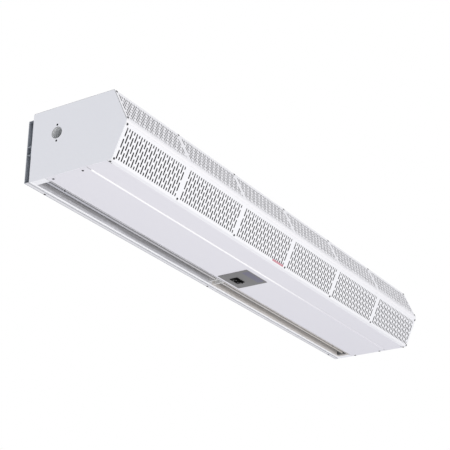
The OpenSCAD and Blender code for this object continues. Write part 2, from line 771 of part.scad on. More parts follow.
// One side of a vane's section, from its lower to its upper edge
function vane_side(s) = [for (i = [0:vane_steps])
  [s * (vane_edge_t + (vane_t - vane_edge_t) * sin(180 * i / vane_steps)) / 2,
    vane_h * (i / vane_steps - 1 / 2)]];
module vane(side) color(zinc) {
  section(vane_length, side * vane_mid) translate([vane_d, vane_z]) difference() {
    polygon(concat(vane_side(1), reversed(vane_side(-1))));
    for (s = [-1, 1]) translate([s * (vane_edge_t / 2 + groove_w), groove_share * vane_h])
      square([groove_w, groove_w], center = true);
  }
  at(side * vane_mid, vane_d, vane_z) along_x()
    cylinder(r = pivot_r, h = vane_length + 2 * (vane_gap + pin_l), center = true, $fn = small_fn);
}
module vane_ear() {
  reach = (nozzle_front - nozzle_rear) / 2 - seam;
  difference() {
    translate([vane_d, 0]) polygon([[-reach, vane_bracket_low], [reach, vane_bracket_low],
      [reach, vane_z + pivot_r], [reach / 2, vane_bracket_high], [-reach / 2, vane_bracket_high],
      [-reach, vane_z + pivot_r]]);
    translate([vane_d, vane_z]) disc(pivot_r + running);
  }
}
module vane_bracket_end(side) color(black)
  section(vane_bracket_w, side * (nozzle_end - nozzle_t - vane_bracket_w / 2)) vane_ear();
module vane_bracket_centre() color(zinc) {
  for (s = [-1, 1]) section(vane_ear_t, s * (vane_centre_w - vane_ear_t) / 2) vane_ear();
  at(0, vane_d, vane_bracket_high - vane_base_t / 2)
    cube([vane_centre_w, nozzle_front - nozzle_rear - 2 * seam, vane_base_t], center = true);
}

// Wall channel, spacer rail and the angles on the casing's back
module wall_bracket() color(white) difference() {
  section(casing_l)
    folded([[-seam, 0], [-standoff, 0], [-standoff, bracket_h], [-seam, bracket_h]], same(bend_r, 2),
      -bracket_t);
  for (sx = [-1, 1], sz = [-1, 1]) translate([sx * bolt_span / 2, over, sz * bolt_rise / 2])
    rotate([90, 0, 0]) rod(bolt_r, bracket_t + 2 * over);
  bracket_places() screw_hole();
}
module spacer_rail() color(white) section(casing_l)
  folded([[bracket_t - standoff, rail_z], [-seam, rail_z], [-seam, rail_z + rail_w],
    [bracket_t - standoff, rail_z + rail_w]], same(bend_r, 2), sheet_t);
module hanger_angle() color(zinc) section(between_flanges)
  folded([[bracket_t - standoff, bracket_h], [0, bracket_h], [0, bracket_h + hanger_rise]], [bend_r], angle_t);
module lock_angle() color(zinc) difference() {
  section(between_flanges)
    folded([[bend_r - standoff, bracket_t], [0, bracket_t], [0, bracket_t + lock_rise]], [bend_r], angle_t);
  bracket_places() screw_hole();
}
module hanging_nuts() color(steel) hang_places() translate([0, 0, -sheet_t - nut_h]) difference() {
  rod(nut_r, nut_h);
  drill(hang_r, nut_h);
}

// A motor's lead, from the motor down through the deck and along to the junction box
module motor_lead(side) color(black) {
  start = side * motor_x;
  finish = plate_x + side * (box_l / 2 - lead_in);
  at(start, axis_d, lead_z + lead_bend) rod(lead_r, axis_z - motor_r - fin_h - seam - lead_z - lead_bend);
  at(start - side * lead_bend, axis_d, lead_z + lead_bend) rotate([90, 0, 0]) rotate_extrude(
    angle = 90, start = side > 0 ? 270 : 180, $fn = round_fn) translate([lead_bend, 0]) disc(lead_r);
  at((start - side * lead_bend + finish) / 2, axis_d, lead_z) along_x()
    cylinder(r = lead_r, h = abs(start - side * lead_bend - finish), center = true, $fn = small_fn);
}

module upper_screws() color(steel) upper_places() screw();
module lower_screws() color(steel) lower_places() screw();
module nose_screws() color(steel) nose_places() screw();
module lip_screws() color(steel) lip_places() screw();
module panel_screws() color(steel) panel_places() screw();
module bracket_screws() color(steel) bracket_places() screw();

cabinet_shell();
end_panel(-1);  // end_panel_left
end_panel(1);  // end_panel_right
intake_screen_upper();
intake_screen_lower();
screen_stays();
front_strip();
access_panel();
control_plate();
switch_body(switch_places[0]);  // switch_body_power
switch_body(switch_places[1]);  // switch_body_speed
rocker(switch_places[0]);  // rocker_power
rocker(switch_places[1]);  // rocker_speed
junction_box();
capacitor(-1);  // capacitor_left
capacitor(1);  // capacitor_right
capacitor_clips();
motor(-1);  // motor_left
motor(1);  // motor_right
motor_cradle(-1);  // motor_cradle_left
motor_cradle(1);  // motor_cradle_right
motor_rings(-1);  // motor_rings_left
motor_rings(1);  // motor_rings_right
motor_straps(-1);  // motor_straps_left
motor_straps(1);  // motor_straps_right
shaft(-1);  // shaft_left
shaft(1);  // shaft_right
blower_housing(0);  // blower_housing_1
blower_housing(1);  // blower_housing_2
blower_housing(2);  // blower_housing_3
blower_housing(3);  // blower_housing_4
blower_wheel(0);  // blower_wheel_1
blower_wheel(1);  // blower_wheel_2
blower_wheel(2);  // blower_wheel_3
blower_wheel(3);  // blower_wheel_4
blower_deck();
nozzle(-1);  // nozzle_left
nozzle(1);  // nozzle_right
vane(-1);  // vane_left
vane(1);  // vane_right
vane_bracket_end(-1);  // vane_bracket_left
vane_bracket_centre();
vane_bracket_end(1);  // vane_bracket_right
wall_bracket();
spacer_rail();
hanger_angle();
lock_angle();
hanging_nuts();
motor_lead(-1);  // motor_lead_left
motor_lead(1);  // motor_lead_right
upper_screws();
lower_screws();
nose_screws();
lip_screws();
panel_screws();
bracket_screws();
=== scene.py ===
"""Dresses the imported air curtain: finishes for its sheet metal, and finer pieces for its fasteners and controls."""

import json
import logging
import math
from collections.abc import Callable
from dataclasses import dataclass, field
from enum import Enum

import bmesh
import bpy
from mathutils import Matrix, Vector

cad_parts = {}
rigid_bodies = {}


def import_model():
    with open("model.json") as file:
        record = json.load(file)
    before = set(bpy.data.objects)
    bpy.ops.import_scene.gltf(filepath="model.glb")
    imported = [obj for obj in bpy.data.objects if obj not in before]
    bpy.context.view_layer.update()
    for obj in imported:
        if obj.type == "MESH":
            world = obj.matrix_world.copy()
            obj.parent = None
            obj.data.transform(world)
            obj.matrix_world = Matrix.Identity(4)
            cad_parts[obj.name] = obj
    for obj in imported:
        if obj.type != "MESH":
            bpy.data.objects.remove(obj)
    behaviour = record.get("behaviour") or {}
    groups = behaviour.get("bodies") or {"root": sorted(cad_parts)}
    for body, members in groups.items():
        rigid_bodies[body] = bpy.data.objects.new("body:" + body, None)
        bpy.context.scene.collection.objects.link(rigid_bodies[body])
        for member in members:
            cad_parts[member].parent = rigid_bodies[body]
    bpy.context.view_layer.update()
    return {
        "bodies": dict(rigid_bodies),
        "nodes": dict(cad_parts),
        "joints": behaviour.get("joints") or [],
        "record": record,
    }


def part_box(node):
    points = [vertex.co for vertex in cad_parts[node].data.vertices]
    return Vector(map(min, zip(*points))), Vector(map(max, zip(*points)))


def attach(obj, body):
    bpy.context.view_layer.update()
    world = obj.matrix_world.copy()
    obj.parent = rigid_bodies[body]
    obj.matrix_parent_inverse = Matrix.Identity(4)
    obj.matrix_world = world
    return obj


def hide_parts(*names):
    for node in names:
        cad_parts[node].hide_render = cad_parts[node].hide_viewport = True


Point = tuple[float, float, float]
Colour = tuple[float, float, float]
Pair = tuple[float, float]
Bevel = tuple[float, int]  # radius and steps
Piece = bpy.types.Object
log = logging.getLogger("air_curtain")

MM = 0.001
NEAR = 0.01 * MM  # less than any real distance between two points
STANDOFF = 17 * MM  # the wall channel's depth, between the wall and the casing
MOUNT_Z = 97.5 * MM  # height of the wall bolts' centre over the underside
HALF_L = 914.5 * MM  # half the casing's length
TOP_Z = 213 * MM - MOUNT_Z  # the casing's top
RIM_X = 0.6 * MM - HALF_L  # just behind the left end panel's outer face
UPPER_OUT = tuple(Vector((0, -106, 48)).normalized())  # the upper screen's outward direction
LOWER_OUT = tuple(Vector((0, -107, -46)).normalized())  # the lower screen's
ALONG_X = (0.01, 1.0, 1.0)  # stretches for noise, into lines along x
ROUND_X = (1.0, 0.02, 0.02)  # and round x
FULL_WHITE = (1.0, 1.0, 1.0, 1.0)
ALONG_CASING = Matrix.Rotation(math.pi / 2, 4, "Y")  # lays what is drawn up z along x
PINCH_X = 802 * MM  # the vanes' pinch screws, from the middle


def place(x: float, depth: float, height: float) -> Vector:
    """Turns a place on the casing into the frame.

    Args:
        x: distance from the middle of the casing, along it.
        depth: distance in front of the casing's back.
        height: height over the casing's underside.

    Returns:
        The point in the frame.
    """
    return Vector((x, -STANDOFF - depth, height - MOUNT_Z))


def linear(colour: Colour) -> tuple[float, float, float, float]:
    """Turns a colour as seen on a screen into the renderer's linear one.

    Args:
        colour: red, green and blue, 0 to 1.

    Returns:
        The linear colour with an alpha of 1.
    """
    return (*[c / 12.92 if c <= 0.04045 else ((c + 0.055) / 1.055) ** 2.4 for c in colour], 1.0)


NOSE = place(0, 330 * MM, 107 * MM)  # where the two screens meet
FOOT = place(0, 284 * MM, 0)  # the lower screen's lower edge


# ---------------------------------------------------------------- shader graphs


def shades(colour: Colour, spread: float) -> list[tuple[float, ...]]:
    """Returns the darker and the lighter linear shade of a colour, each a share of spread away from it."""
    return [(*[min(c * (1 + way * spread), 1.0) for c in linear(colour)[:3]], 1.0) for way in (-1, 1)]


def math_node(operation: str, swapped: bool = False) -> Callable[..., "Flow"]:
    """Makes a method of Flow.

    Args:
        operation: the Math node's operation.
        swapped: whether the other value comes first.

    Returns:
        The method, which makes one Math node.
    """

    def method(self: "Flow", other: "Flow | float" = 0.0) -> "Flow":
        """Returns the new node's output."""
        first, second = (other, self) if swapped else (self, other)
        return self.graph.node("Math", {"operation": operation}, {0: first, 1: second})

    return method


class Flow:
    """One output of a node, on which Python's arithmetic makes Math nodes."""

    def __init__(self, graph: "Graph", socket: bpy.types.NodeSocket) -> None:
        """Keeps the socket and the graph it is in."""
        self.graph = graph
        self.socket = socket

    __add__ = __radd__ = math_node("ADD")
    __mul__ = __rmul__ = math_node("MULTIPLY")
    __sub__ = math_node("SUBTRACT")
    __rsub__ = math_node("SUBTRACT", swapped=True)
    __truediv__ = math_node("DIVIDE")
    __lt__ = math_node("LESS_THAN")
    __gt__ = math_node("GREATER_THAN")
    __abs__ = math_node("ABSOLUTE")
    most = math_node("MAXIMUM")
    least = math_node("MINIMUM")


class Graph:
    """The node tree of one material."""

    def __init__(self, name: str) -> None:
        """Makes a material of that name with a Principled shader."""
        self.material = bpy.data.materials.new(name)
        self.material.use_nodes = True
        self.tree = self.material.node_tree
        self.surface = self.tree.nodes["Principled BSDF"]

    def node(self, kind: str, settings: dict | None = None, values: dict | None = None, out: int | str = 0) -> Flow:
        """Makes a node.

        Args:
            kind: the node's type, without ShaderNode.
            settings: attributes to set first.
            values: what goes into each input socket, by name or number.
            out: the output that is wanted.

        Returns:
            That output.
        """
        made = self.tree.nodes.new("ShaderNode" + kind)
        for key, value in (settings or {}).items():
            setattr(made, key, value)
        for key, value in (values or {}).items():
            self.feed(made.inputs[key], value)
        return Flow(self, made.outputs[out])

    def feed(self, socket: bpy.types.NodeSocket, value: "Flow | float | tuple") -> None:
        """Links a flow to a socket, or sets its value."""
        if isinstance(value, Flow):
            self.tree.links.new(value.socket, socket)
        else:
            socket.default_value = value

    def give(self, name: str, value: "Flow | float | tuple") -> None:
        """Feeds the shader's own socket of that name."""
        self.feed(self.surface.inputs[name], value)

    def blend(self, factor: "Flow | float", first: "Flow | tuple", second: "Flow | tuple") -> Flow:
        """Mixes two colours, the second one by the factor's share."""
        return self.node("Mix", {"data_type": "RGBA"}, {0: factor, 6: first, 7: second}, 2)

    def scaled(self, colour: "Flow | tuple", factor: Flow) -> Flow:
        """Multiplies a colour by a number."""
        return self.node("VectorMath", {"operation": "SCALE"}, {0: colour, 3: factor})

    def place(self, stretch: Point = (1.0, 1.0, 1.0)) -> Flow:
        """Object coordinates, each multiplied by its share of stretch."""
        point = self.node("TexCoord", out="Object")
        return self.node("VectorMath", {"operation": "MULTIPLY"}, {0: point, 1: stretch})

    def axis(self, number: int) -> Flow:
        """One object coordinate, with 0 for x."""
        return self.node("SeparateXYZ", None, {0: self.place()}, number)

    def rise(self, number: int, low: float, high: float) -> Flow:
        """Goes from 0 to 1 between two values of a coordinate."""
        return self.node("MapRange", None, {0: self.axis(number), 1: low, 2: high})

    def within(self, low: tuple[float, ...], high: tuple[float, ...]) -> Flow:
        """1 where each coordinate, from x on, lies between its low and its high value."""
        mask: Flow | float = 1.0
        for number, (least, most) in enumerate(zip(low, high)):
            axis = self.axis(number)
            mask = (axis > least) * (axis < most) * mask
        return mask

    def noise(self, scale: float, detail: float = 2.0, stretch: Point = (1.0, 1.0, 1.0)) -> Flow:
        """A noise of about 0.5, with scale patches in a metre."""
        return self.node("TexNoise", None, {"Vector": self.place(stretch), "Scale": scale, "Detail": detail})

    def bump(self, height: Flow, depth: float, strength: float = 1.0) -> None:
        """Lets height, 0 to 1 over a depth in metres, raise the surface."""
        self.give("Normal", self.node("Bump", None, {"Height": height, "Distance": depth, "Strength": strength}))


@dataclass(frozen=True)
class Finish:
    """A material's plain values. Its kinds add what varies over the surface.

    Attributes:
        name: the material's name.
        colour: its colour as seen on a screen, 0 to 1.
        roughness: from 0, a mirror, to 1, chalk.
        metallic: 1 on bare metal.
        coat: weight of a clear layer on top.
        specular: how strongly a bare surface mirrors, 0.5 on most.
    """

    name: str
    colour: Colour
    roughness: float = 0.5
    metallic: float = 0.0
    coat: float = 0.0
    specular: float = 0.5

    def make(self) -> bpy.types.Material:
        """Builds the material and returns it."""
        graph = Graph(self.name)
        graph.give("Metallic", self.metallic)
        graph.give("Coat Weight", self.coat)
        graph.give("Specular IOR Level", self.specular)
        self.pattern(graph)
        return graph.material

    def tone(self, graph: Graph, amount: Flow, spread: float) -> None:
        """Varies the colour by amount, 0 to 1, from darker to lighter by a share of spread."""
        graph.give("Base Color", graph.blend(amount, *shades(self.colour, spread)))

    def gloss(self, graph: Graph, amount: Flow, spread: float) -> None:
        """Varies the roughness by amount, 0 to 1, up to spread from its middle."""
        graph.give("Roughness", amount * (2 * spread) + (self.roughness - spread))

    def pattern(self, graph: Graph) -> None:
        """Adds what varies over the surface, which each kind does in its own way."""
        raise NotImplementedError(self.name)


@dataclass(frozen=True)
class PowderCoat(Finish):
    """Baked powder paint with its fine orange peel.

    Attributes:
        grain: size of a peel dimple.
        relief: depth of the dimples.
    """

    grain: float = 1.1 * MM
    relief: float = 0.02 * MM

    def over(self, graph: Graph, paint: Flow) -> Flow:
        """Returns the surface's colour, which is the paint's on plain sheet."""
        return paint

    def pattern(self, graph: Graph) -> None:
        """Fine dimples, and a thickness that drifts over the panels."""
        peel = graph.noise(1 / self.grain, 3.0)
        drift = graph.noise(3.0, 4.0)
        paint = graph.blend(drift * 0.8 + peel * 0.2, *shades(self.colour, 0.025))
        graph.give("Base Color", self.over(graph, paint))
        self.gloss(graph, drift * 0.5 + peel * 0.5, 0.07)
        graph.bump(peel, self.relief, 0.6)


@dataclass(frozen=True)
class PaintedOutside(PowderCoat):
    """Sheet that is painted on its outer face alone, with a dark zinc colour inside and on its slots' walls and cut
    edges, which is partly bare zinc and partly painted shade.

    Attributes:
        faces: each outer face, as its outward direction and its distance that way from the origin.
        skin: how deep behind an outer face the paint reaches, less than the sheet's thickness, so that the slots'
            walls and cut edges get the dark colour as painted shade.
        bare_and_shade: colour of the bare sheet, darkened as painted shade; the shade lines and the rims get it too.
        shine: metallic value of the bare sheet.
        shade_lines: painted shade lines along seams, each by its lowest and highest corner in the frame.
        folds: axes and values, below which the paint wraps round the sheet's edges too.
        wrap: how much deeper it reaches there.
        rims: numbers of faces, and how wide a darker line is drawn along each of them on the left end panel.
    """

    faces: tuple[tuple[Point, float], ...] = ()
    skin: float = 0.12 * MM
    # darker than bare zinc: painted shade inside the casing and in its slots
    bare_and_shade: Colour = (0.13, 0.133, 0.137)
    shine: float = 0.3
    shade_lines: tuple[tuple[Point, Point], ...] = ()
    folds: tuple[tuple[int, float], ...] = ()
    wrap: float = 1.33 * MM
    rims: tuple[tuple[int, float], ...] = ()

    def over(self, graph: Graph, paint: Flow) -> Flow:
        """Paint outside; clouded dark zinc, partly painted shade, inside, on the slots' walls, along the shade lines
        and along the rims.
        """
        point = graph.place()
        depths = [
            height - graph.node("VectorMath", {"operation": "DOT_PRODUCT"}, {0: point, 1: outward}, "Value")
            for outward, height in self.faces
        ]
        nearest = depths[0]
        for depth in depths[1:]:
            nearest = nearest.least(depth)
        reach: Flow | float = self.skin
        for number, limit in self.folds:
            reach = (graph.axis(number) < limit) * self.wrap + reach
        # 1 where the dark zinc colour shows instead of paint: bare sheet, and painted shade on slot walls and cut
        # edges
        inside = nearest > reach
        # painted shade lines along seams
        for low, high in self.shade_lines:
            inside = inside.most(graph.within(low, high))
        # darker lines along the left end panel's edges
        for number, width in self.rims:
            inside = inside.most((depths[number] < width) * (graph.axis(0) < RIM_X))
        graph.give("Metallic", inside * self.shine)
        return graph.blend(inside, paint, graph.blend(graph.noise(60.0, 4.0), *shades(self.bare_and_shade, 0.2)))


@dataclass(frozen=True)
class PrintedCoat(PowderCoat):
    """Powder coat with one plain band printed across it.

    Attributes:
        band_low: corner of the band with the lowest x and y.
        band_high: corner with the highest x and y.
        band_colour: colour of the print.
    """

    band_low: Pair = (0.0, 0.0)
    band_high: Pair = (0.0, 0.0)
    band_colour: Colour = (0.3, 0.35, 0.6)

    def pattern(self, graph: Graph) -> None:
        """Paint, with the band masked out by its place."""
        peel = graph.noise(1 / self.grain, 3.0)
        mask = graph.within(self.band_low, self.band_high)
        paint = graph.blend(peel, *shades(self.colour, 0.07))
        graph.give("Base Color", graph.blend(mask, paint, linear(self.band_colour)))
        graph.give("Roughness", (peel * 0.1 + self.roughness) - mask * 0.1)
        graph.bump(peel, self.relief, 0.6)


@dataclass(frozen=True)
class ZincSheet(Finish):
    """Hot-dipped sheet with its frozen spangles.

    Attributes:
        spangle: size of one spangle.
    """

    spangle: float = 9 * MM

    def shade(self, graph: Graph, mixed: Flow) -> None:
        """Feeds the colour, from mixed, the spangles' own pattern."""
        self.tone(graph, mixed, 0.14)

    def pattern(self, graph: Graph) -> None:
        """Each spangle has its own shade and gloss, and a soft haze lies over them."""
        cells = graph.node(
            "TexVoronoi", {"feature": "F1"},
            {"Vector": graph.place(), "Scale": 1 / self.spangle, "Randomness": 1.0}, "Color",
        )
        haze = graph.noise(25.0, 4.0)
        mixed = graph.node("RGBToBW", None, {0: cells}) * 0.7 + haze * 0.3
        self.shade(graph, mixed)
        self.gloss(graph, mixed, 0.12)
        graph.bump(haze, 0.05 * MM, 0.3)


@dataclass(frozen=True)
class DuctZinc(ZincSheet):
    """Zinc sheet of a duct: lighter at its mouth and darker higher up as painted shade, with fine streaks along x.

    Attributes:
        shade_colour: its colour higher up, a painted shade.
        mouth: heights in the frame between which its colour turns to the painted shade.
        far_gain: how much lighter it is at the end of the span with the highest x.
        span: the lowest and highest x between which it gets lighter.
        streak: spacing of the streaks.
        shares: how much the spangles and the streaks lighten it, and its level without them.
        brightest: limit of what the streaks and the gain make of the colour.
    """

    shade_colour: Colour = (0.7, 0.7, 0.7)
    mouth: Pair = (6 * MM - MOUNT_Z, 11 * MM - MOUNT_Z)
    far_gain: float = 1.0
    span: Pair = (0.0, 0.9)
    streak: float = 1.6 * MM
    shares: Point = (0.16, 1.3, 0.25)
    brightest: float = 1.12

    def shade(self, graph: Graph, mixed: Flow) -> None:
        """Zinc that turns to the painted shade with height, under streaks."""
        lines = graph.noise(1 / self.streak, 3.0, ALONG_X)
        # painted shade: darker higher up in the duct
        base = graph.blend(graph.rise(2, *self.mouth), linear(self.colour), linear(self.shade_colour))
        gain = graph.rise(0, *self.span) * (self.far_gain - 1.0) + 1.0
        level = (mixed * self.shares[0] + lines * self.shares[1] + self.shares[2]) * gain
        graph.give("Base Color", graph.scaled(base, level.least(self.brightest)))


@dataclass(frozen=True)
class DrawnMetal(Finish):
    """Metal with fine lines along or around x, as left by a die, a lathe or a grinder.

    Attributes:
        line: spacing of the lines.
        around: whether they run round x instead of along it.
        far_colour: colour at the end with the highest x, or None for one colour all along.
        span: the lowest and highest x between which the colour changes.
        shade_below: height in the frame under which the metal is darkened as painted shade, or None.
        shade_level: the share of light that the metal gives back in that painted shade.
        painted_highlight: height in the frame and half width of a painted highlight along x, or None.
        highlight_shape: where the highlight's rise levels off, its slope, and the level beside it.
    """

    line: float = 0.5 * MM
    around: bool = False
    far_colour: Colour | None = None
    span: Pair = (-0.9, 0.9)
    shade_below: float | None = None
    shade_level: float = 0.3
    painted_highlight: Pair | None = None
    highlight_shape: Point = (0.45, 1.3, 0.58)

    def lit_and_shaded(self, graph: Graph, mixed: Flow) -> Flow:
        """Returns a colour that changes along x, with the painted shade and the painted highlight."""
        wide = graph.blend(graph.rise(0, *self.span), linear(self.colour), linear(self.far_colour))
        grey = graph.blend(mixed, (0.86, 0.86, 0.86, 1.0), FULL_WHITE)
        # painted shade along the lower edge
        if self.shade_below is not None:
            grey = graph.blend(graph.axis(2) < self.shade_below, grey, (*[self.shade_level] * 3, 1.0))
        shade = graph.node("VectorMath", {"operation": "MULTIPLY"}, {0: wide, 1: grey})
        # painted highlight along x
        if self.painted_highlight is not None:
            (height, half_width), (top, slope, level) = self.painted_highlight, self.highlight_shape
            away = abs(graph.axis(2) - height)
            shade = graph.scaled(shade, (1.0 - away / half_width).most(0.0).least(top) * slope + level)
        return shade

    def pattern(self, graph: Graph) -> None:
        """Long thin streaks in shade, gloss and height."""
        lines = graph.noise(1 / self.line, 3.0, ROUND_X if self.around else ALONG_X)
        mixed = lines * 0.6 + graph.noise(12.0, 3.0) * 0.4
        if self.far_colour:
            graph.give("Base Color", self.lit_and_shaded(graph, mixed))
        else:
            self.tone(graph, mixed, 0.12)
        self.gloss(graph, mixed, 0.09)
        graph.bump(lines, 0.02 * MM, 0.5)


@dataclass(frozen=True)
class Moulded(Finish):
    """Nylon or rubber from a mould with an eroded face.

    Attributes:
        grain: size of the erosion's pits.
    """

    grain: float = 0.35 * MM

    def pattern(self, graph: Graph) -> None:
        """Fine pits, and dust that dulls it in places."""
        pits = graph.noise(1 / self.grain, 2.0)
        dust = graph.noise(60.0, 4.0)
        self.tone(graph, dust * 0.7 + pits * 0.3, 0.18)
        self.gloss(graph, dust * 0.5 + pits * 0.5, 0.1)
        graph.bump(pits, 0.03 * MM, 0.5)


@dataclass(frozen=True)
class FadingHighlight(Moulded):
    """Moulded vinyl with a painted highlight: its white fades towards the end with the highest x.

    Attributes:
        far_colour: its colour at that end.
        span: the lowest and highest x between which it changes.
    """

    far_colour: Colour = (0.9, 0.9, 0.9)
    span: Pair = (0.05, 0.45)

    def tone(self, graph: Graph, amount: Flow, spread: float) -> None:
        """Fades the painted highlight along x, and leaves the pits and the dust to the gloss."""
        shade = graph.blend(graph.rise(0, *self.span), linear(self.colour), linear(self.far_colour))
        graph.give("Base Color", shade)


@dataclass(frozen=True)
class CastEnamel(Finish):
    """Enamel over a sand-cast skin.

    Attributes:
        grain: size of the skin's lumps.
    """

    grain: float = 2.5 * MM

    def pattern(self, graph: Graph) -> None:
        """Soft lumps under the gloss."""
        skin = graph.noise(1 / self.grain, 4.0)
        self.tone(graph, skin, 0.1)
        self.gloss(graph, skin, 0.08)
        graph.bump(skin, 0.12 * MM, 0.6)


@dataclass(frozen=True)
class Sleeving(Finish):
    """Woven sleeving round a lead.

    Attributes:
        weave: spacing of the braid.
    """

    weave: float = 1.6 * MM

    def pattern(self, graph: Graph) -> None:
        """Crossing strands, by two slanted waves."""
        waves = [
            graph.node("TexWave", {"wave_type": "BANDS", "bands_direction": "DIAGONAL"},
                       {"Vector": graph.place((1.0, turn, turn)), "Scale": 0.3 / self.weave, "Distortion": 0.2}, "Fac")
            for turn in (1.0, -1.0)
        ]
        braid = waves[0] * waves[1]
        self.tone(graph, braid, 0.3)
        self.gloss(graph, braid, 0.1)
        graph.bump(braid, 0.15 * MM, 0.6)


# ---------------------------------------------------------------- finishes


CASING_FACES = (
    ((-1.0, 0.0, 0.0), HALF_L), ((1.0, 0.0, 0.0), HALF_L), ((0.0, 1.0, 0.0), -STANDOFF),
    ((0.0, 0.0, 1.0), TOP_Z), ((0.0, 0.0, -1.0), MOUNT_Z),
    (UPPER_OUT, NOSE.dot(Vector(UPPER_OUT))), (LOWER_OUT, NOSE.dot(Vector(LOWER_OUT))),
)
CHANNEL_FACES = (((0.0, 1.0, 0.0), 0.0), ((0.0, 0.0, 1.0), MOUNT_Z), ((0.0, 0.0, -1.0), MOUNT_Z))
FOLDS = ((1, NOSE.y + 12 * MM), (2, 8 * MM - MOUNT_Z))
# painted shade lines: the wall channel's free flange edge and its rear bend, dark where they meet the casing
CHANNEL_EDGE_SHADE = ((-0.95, -16.0 * MM, -1 * MM - MOUNT_Z), (0.95, -13.4 * MM, 7 * MM - MOUNT_Z))
CHANNEL_BEND_SHADE = ((-0.95, -4.2 * MM, -1 * MM - MOUNT_Z), (0.95, 0.01, 7 * MM - MOUNT_Z))
BAND_LOW, BAND_HIGH = place(-40 * MM, 175 * MM, 0), place(61 * MM, 151 * MM, 0)  # the printed band's corners

WHITE = (0.95, 0.95, 0.955)
CASING = {"faces": CASING_FACES, "folds": FOLDS}  # what all painted sheets of the casing share
CASING_COAT = PaintedOutside("casing_powder_coat", WHITE, 0.46, **CASING)
# a greyer copy of the white paint for the underside's panels: painted shade
PANEL_COAT = PaintedOutside("panel_powder_coat", (0.897, 0.892, 0.908), 0.5, **CASING)
PLATE_COAT = PrintedCoat(
    "control_plate_coat", (0.455, 0.452, 0.452), 0.5,
    band_low=BAND_LOW[:2], band_high=BAND_HIGH[:2], band_colour=(0.40, 0.395, 0.46),
)
# white trim, brightest at the left as a painted highlight that fades along x to the panels' tone
TRIM_VINYL = FadingHighlight("white_trim", (1.0, 1.0, 0.995), 0.35, far_colour=(0.905, 0.90, 0.915))
RED_COAT = PowderCoat("red_enamel", (0.80, 0.56, 0.60), 0.4)
SWITCH_NYLON = Moulded("switch_nylon", (0.03, 0.03, 0.032), 0.6, specular=0.04)
MARK_PRINT = Moulded("mark_print", (0.80, 0.80, 0.80), 0.5)
HANGER_ZINC = ZincSheet("hanger_zinc", (0.60, 0.61, 0.62), 0.45, 0.4)
# zinc lining coloured near-white and not metallic: painted light inside the port
COLLAR_ZINC = ZincSheet("collar_zinc", (0.93, 0.935, 0.93), 0.5, 0.0, spangle=5 * MM)
SCREW_ZINC = DrawnMetal("screw_zinc", (0.24, 0.24, 0.25), 0.4, 0.6, line=0.15 * MM)
SCREW_DARK = DrawnMetal("screw_black", (0.16, 0.16, 0.165), 0.4, 0.6, line=0.15 * MM)

FINISH_OF_SLOT: dict[str, Finish] = {
    "white_sheet": PowderCoat("white_powder_coat", WHITE, 0.46),
    # dark zinc, partly painted shade, so that the inside seen through the slots stays dark
    "zinc_sheet": ZincSheet("spangled_zinc", (0.25, 0.255, 0.26), 0.45, 0.3),
    "plate_grey": PLATE_COAT,
    "switch_black": SWITCH_NYLON,
    # the vane's lower edge gets painted shade, and its front face a painted highlight
    "vane_metal": DrawnMetal(
        "drawn_vane", (0.885, 0.89, 0.92), 0.45, 0.2, far_colour=(0.93, 0.915, 0.89),
        shade_below=5.0 * MM - MOUNT_Z, painted_highlight=(8.1 * MM - MOUNT_Z, 3.1 * MM),
    ),
    "bracket_plastic": Moulded("bracket_nylon", (0.42, 0.42, 0.42), 0.6, specular=0.25),
    "bracket_zinc": DrawnMetal("bright_zinc", (0.80, 0.81, 0.82), 0.3, 0.9),
    "motor_body": CastEnamel("motor_enamel", (0.36, 0.38, 0.41), 0.4, coat=0.2),
    "shaft_steel": DrawnMetal("ground_shaft", (0.62, 0.63, 0.65), 0.28, 1.0, around=True),
    "mount_rubber": Moulded("ring_rubber", (0.09, 0.09, 0.09), 0.75),
    "wheel_zinc": ZincSheet("wheel_zinc", (0.72, 0.73, 0.75), 0.4, 0.8, spangle=6 * MM),
    "capacitor_can": DrawnMetal("drawn_can", (0.76, 0.76, 0.77), 0.3, 0.9),
    "lead_jacket": Sleeving("lead_sleeve", (0.09, 0.09, 0.09), 0.6),
    "screw_steel": SCREW_ZINC,
}
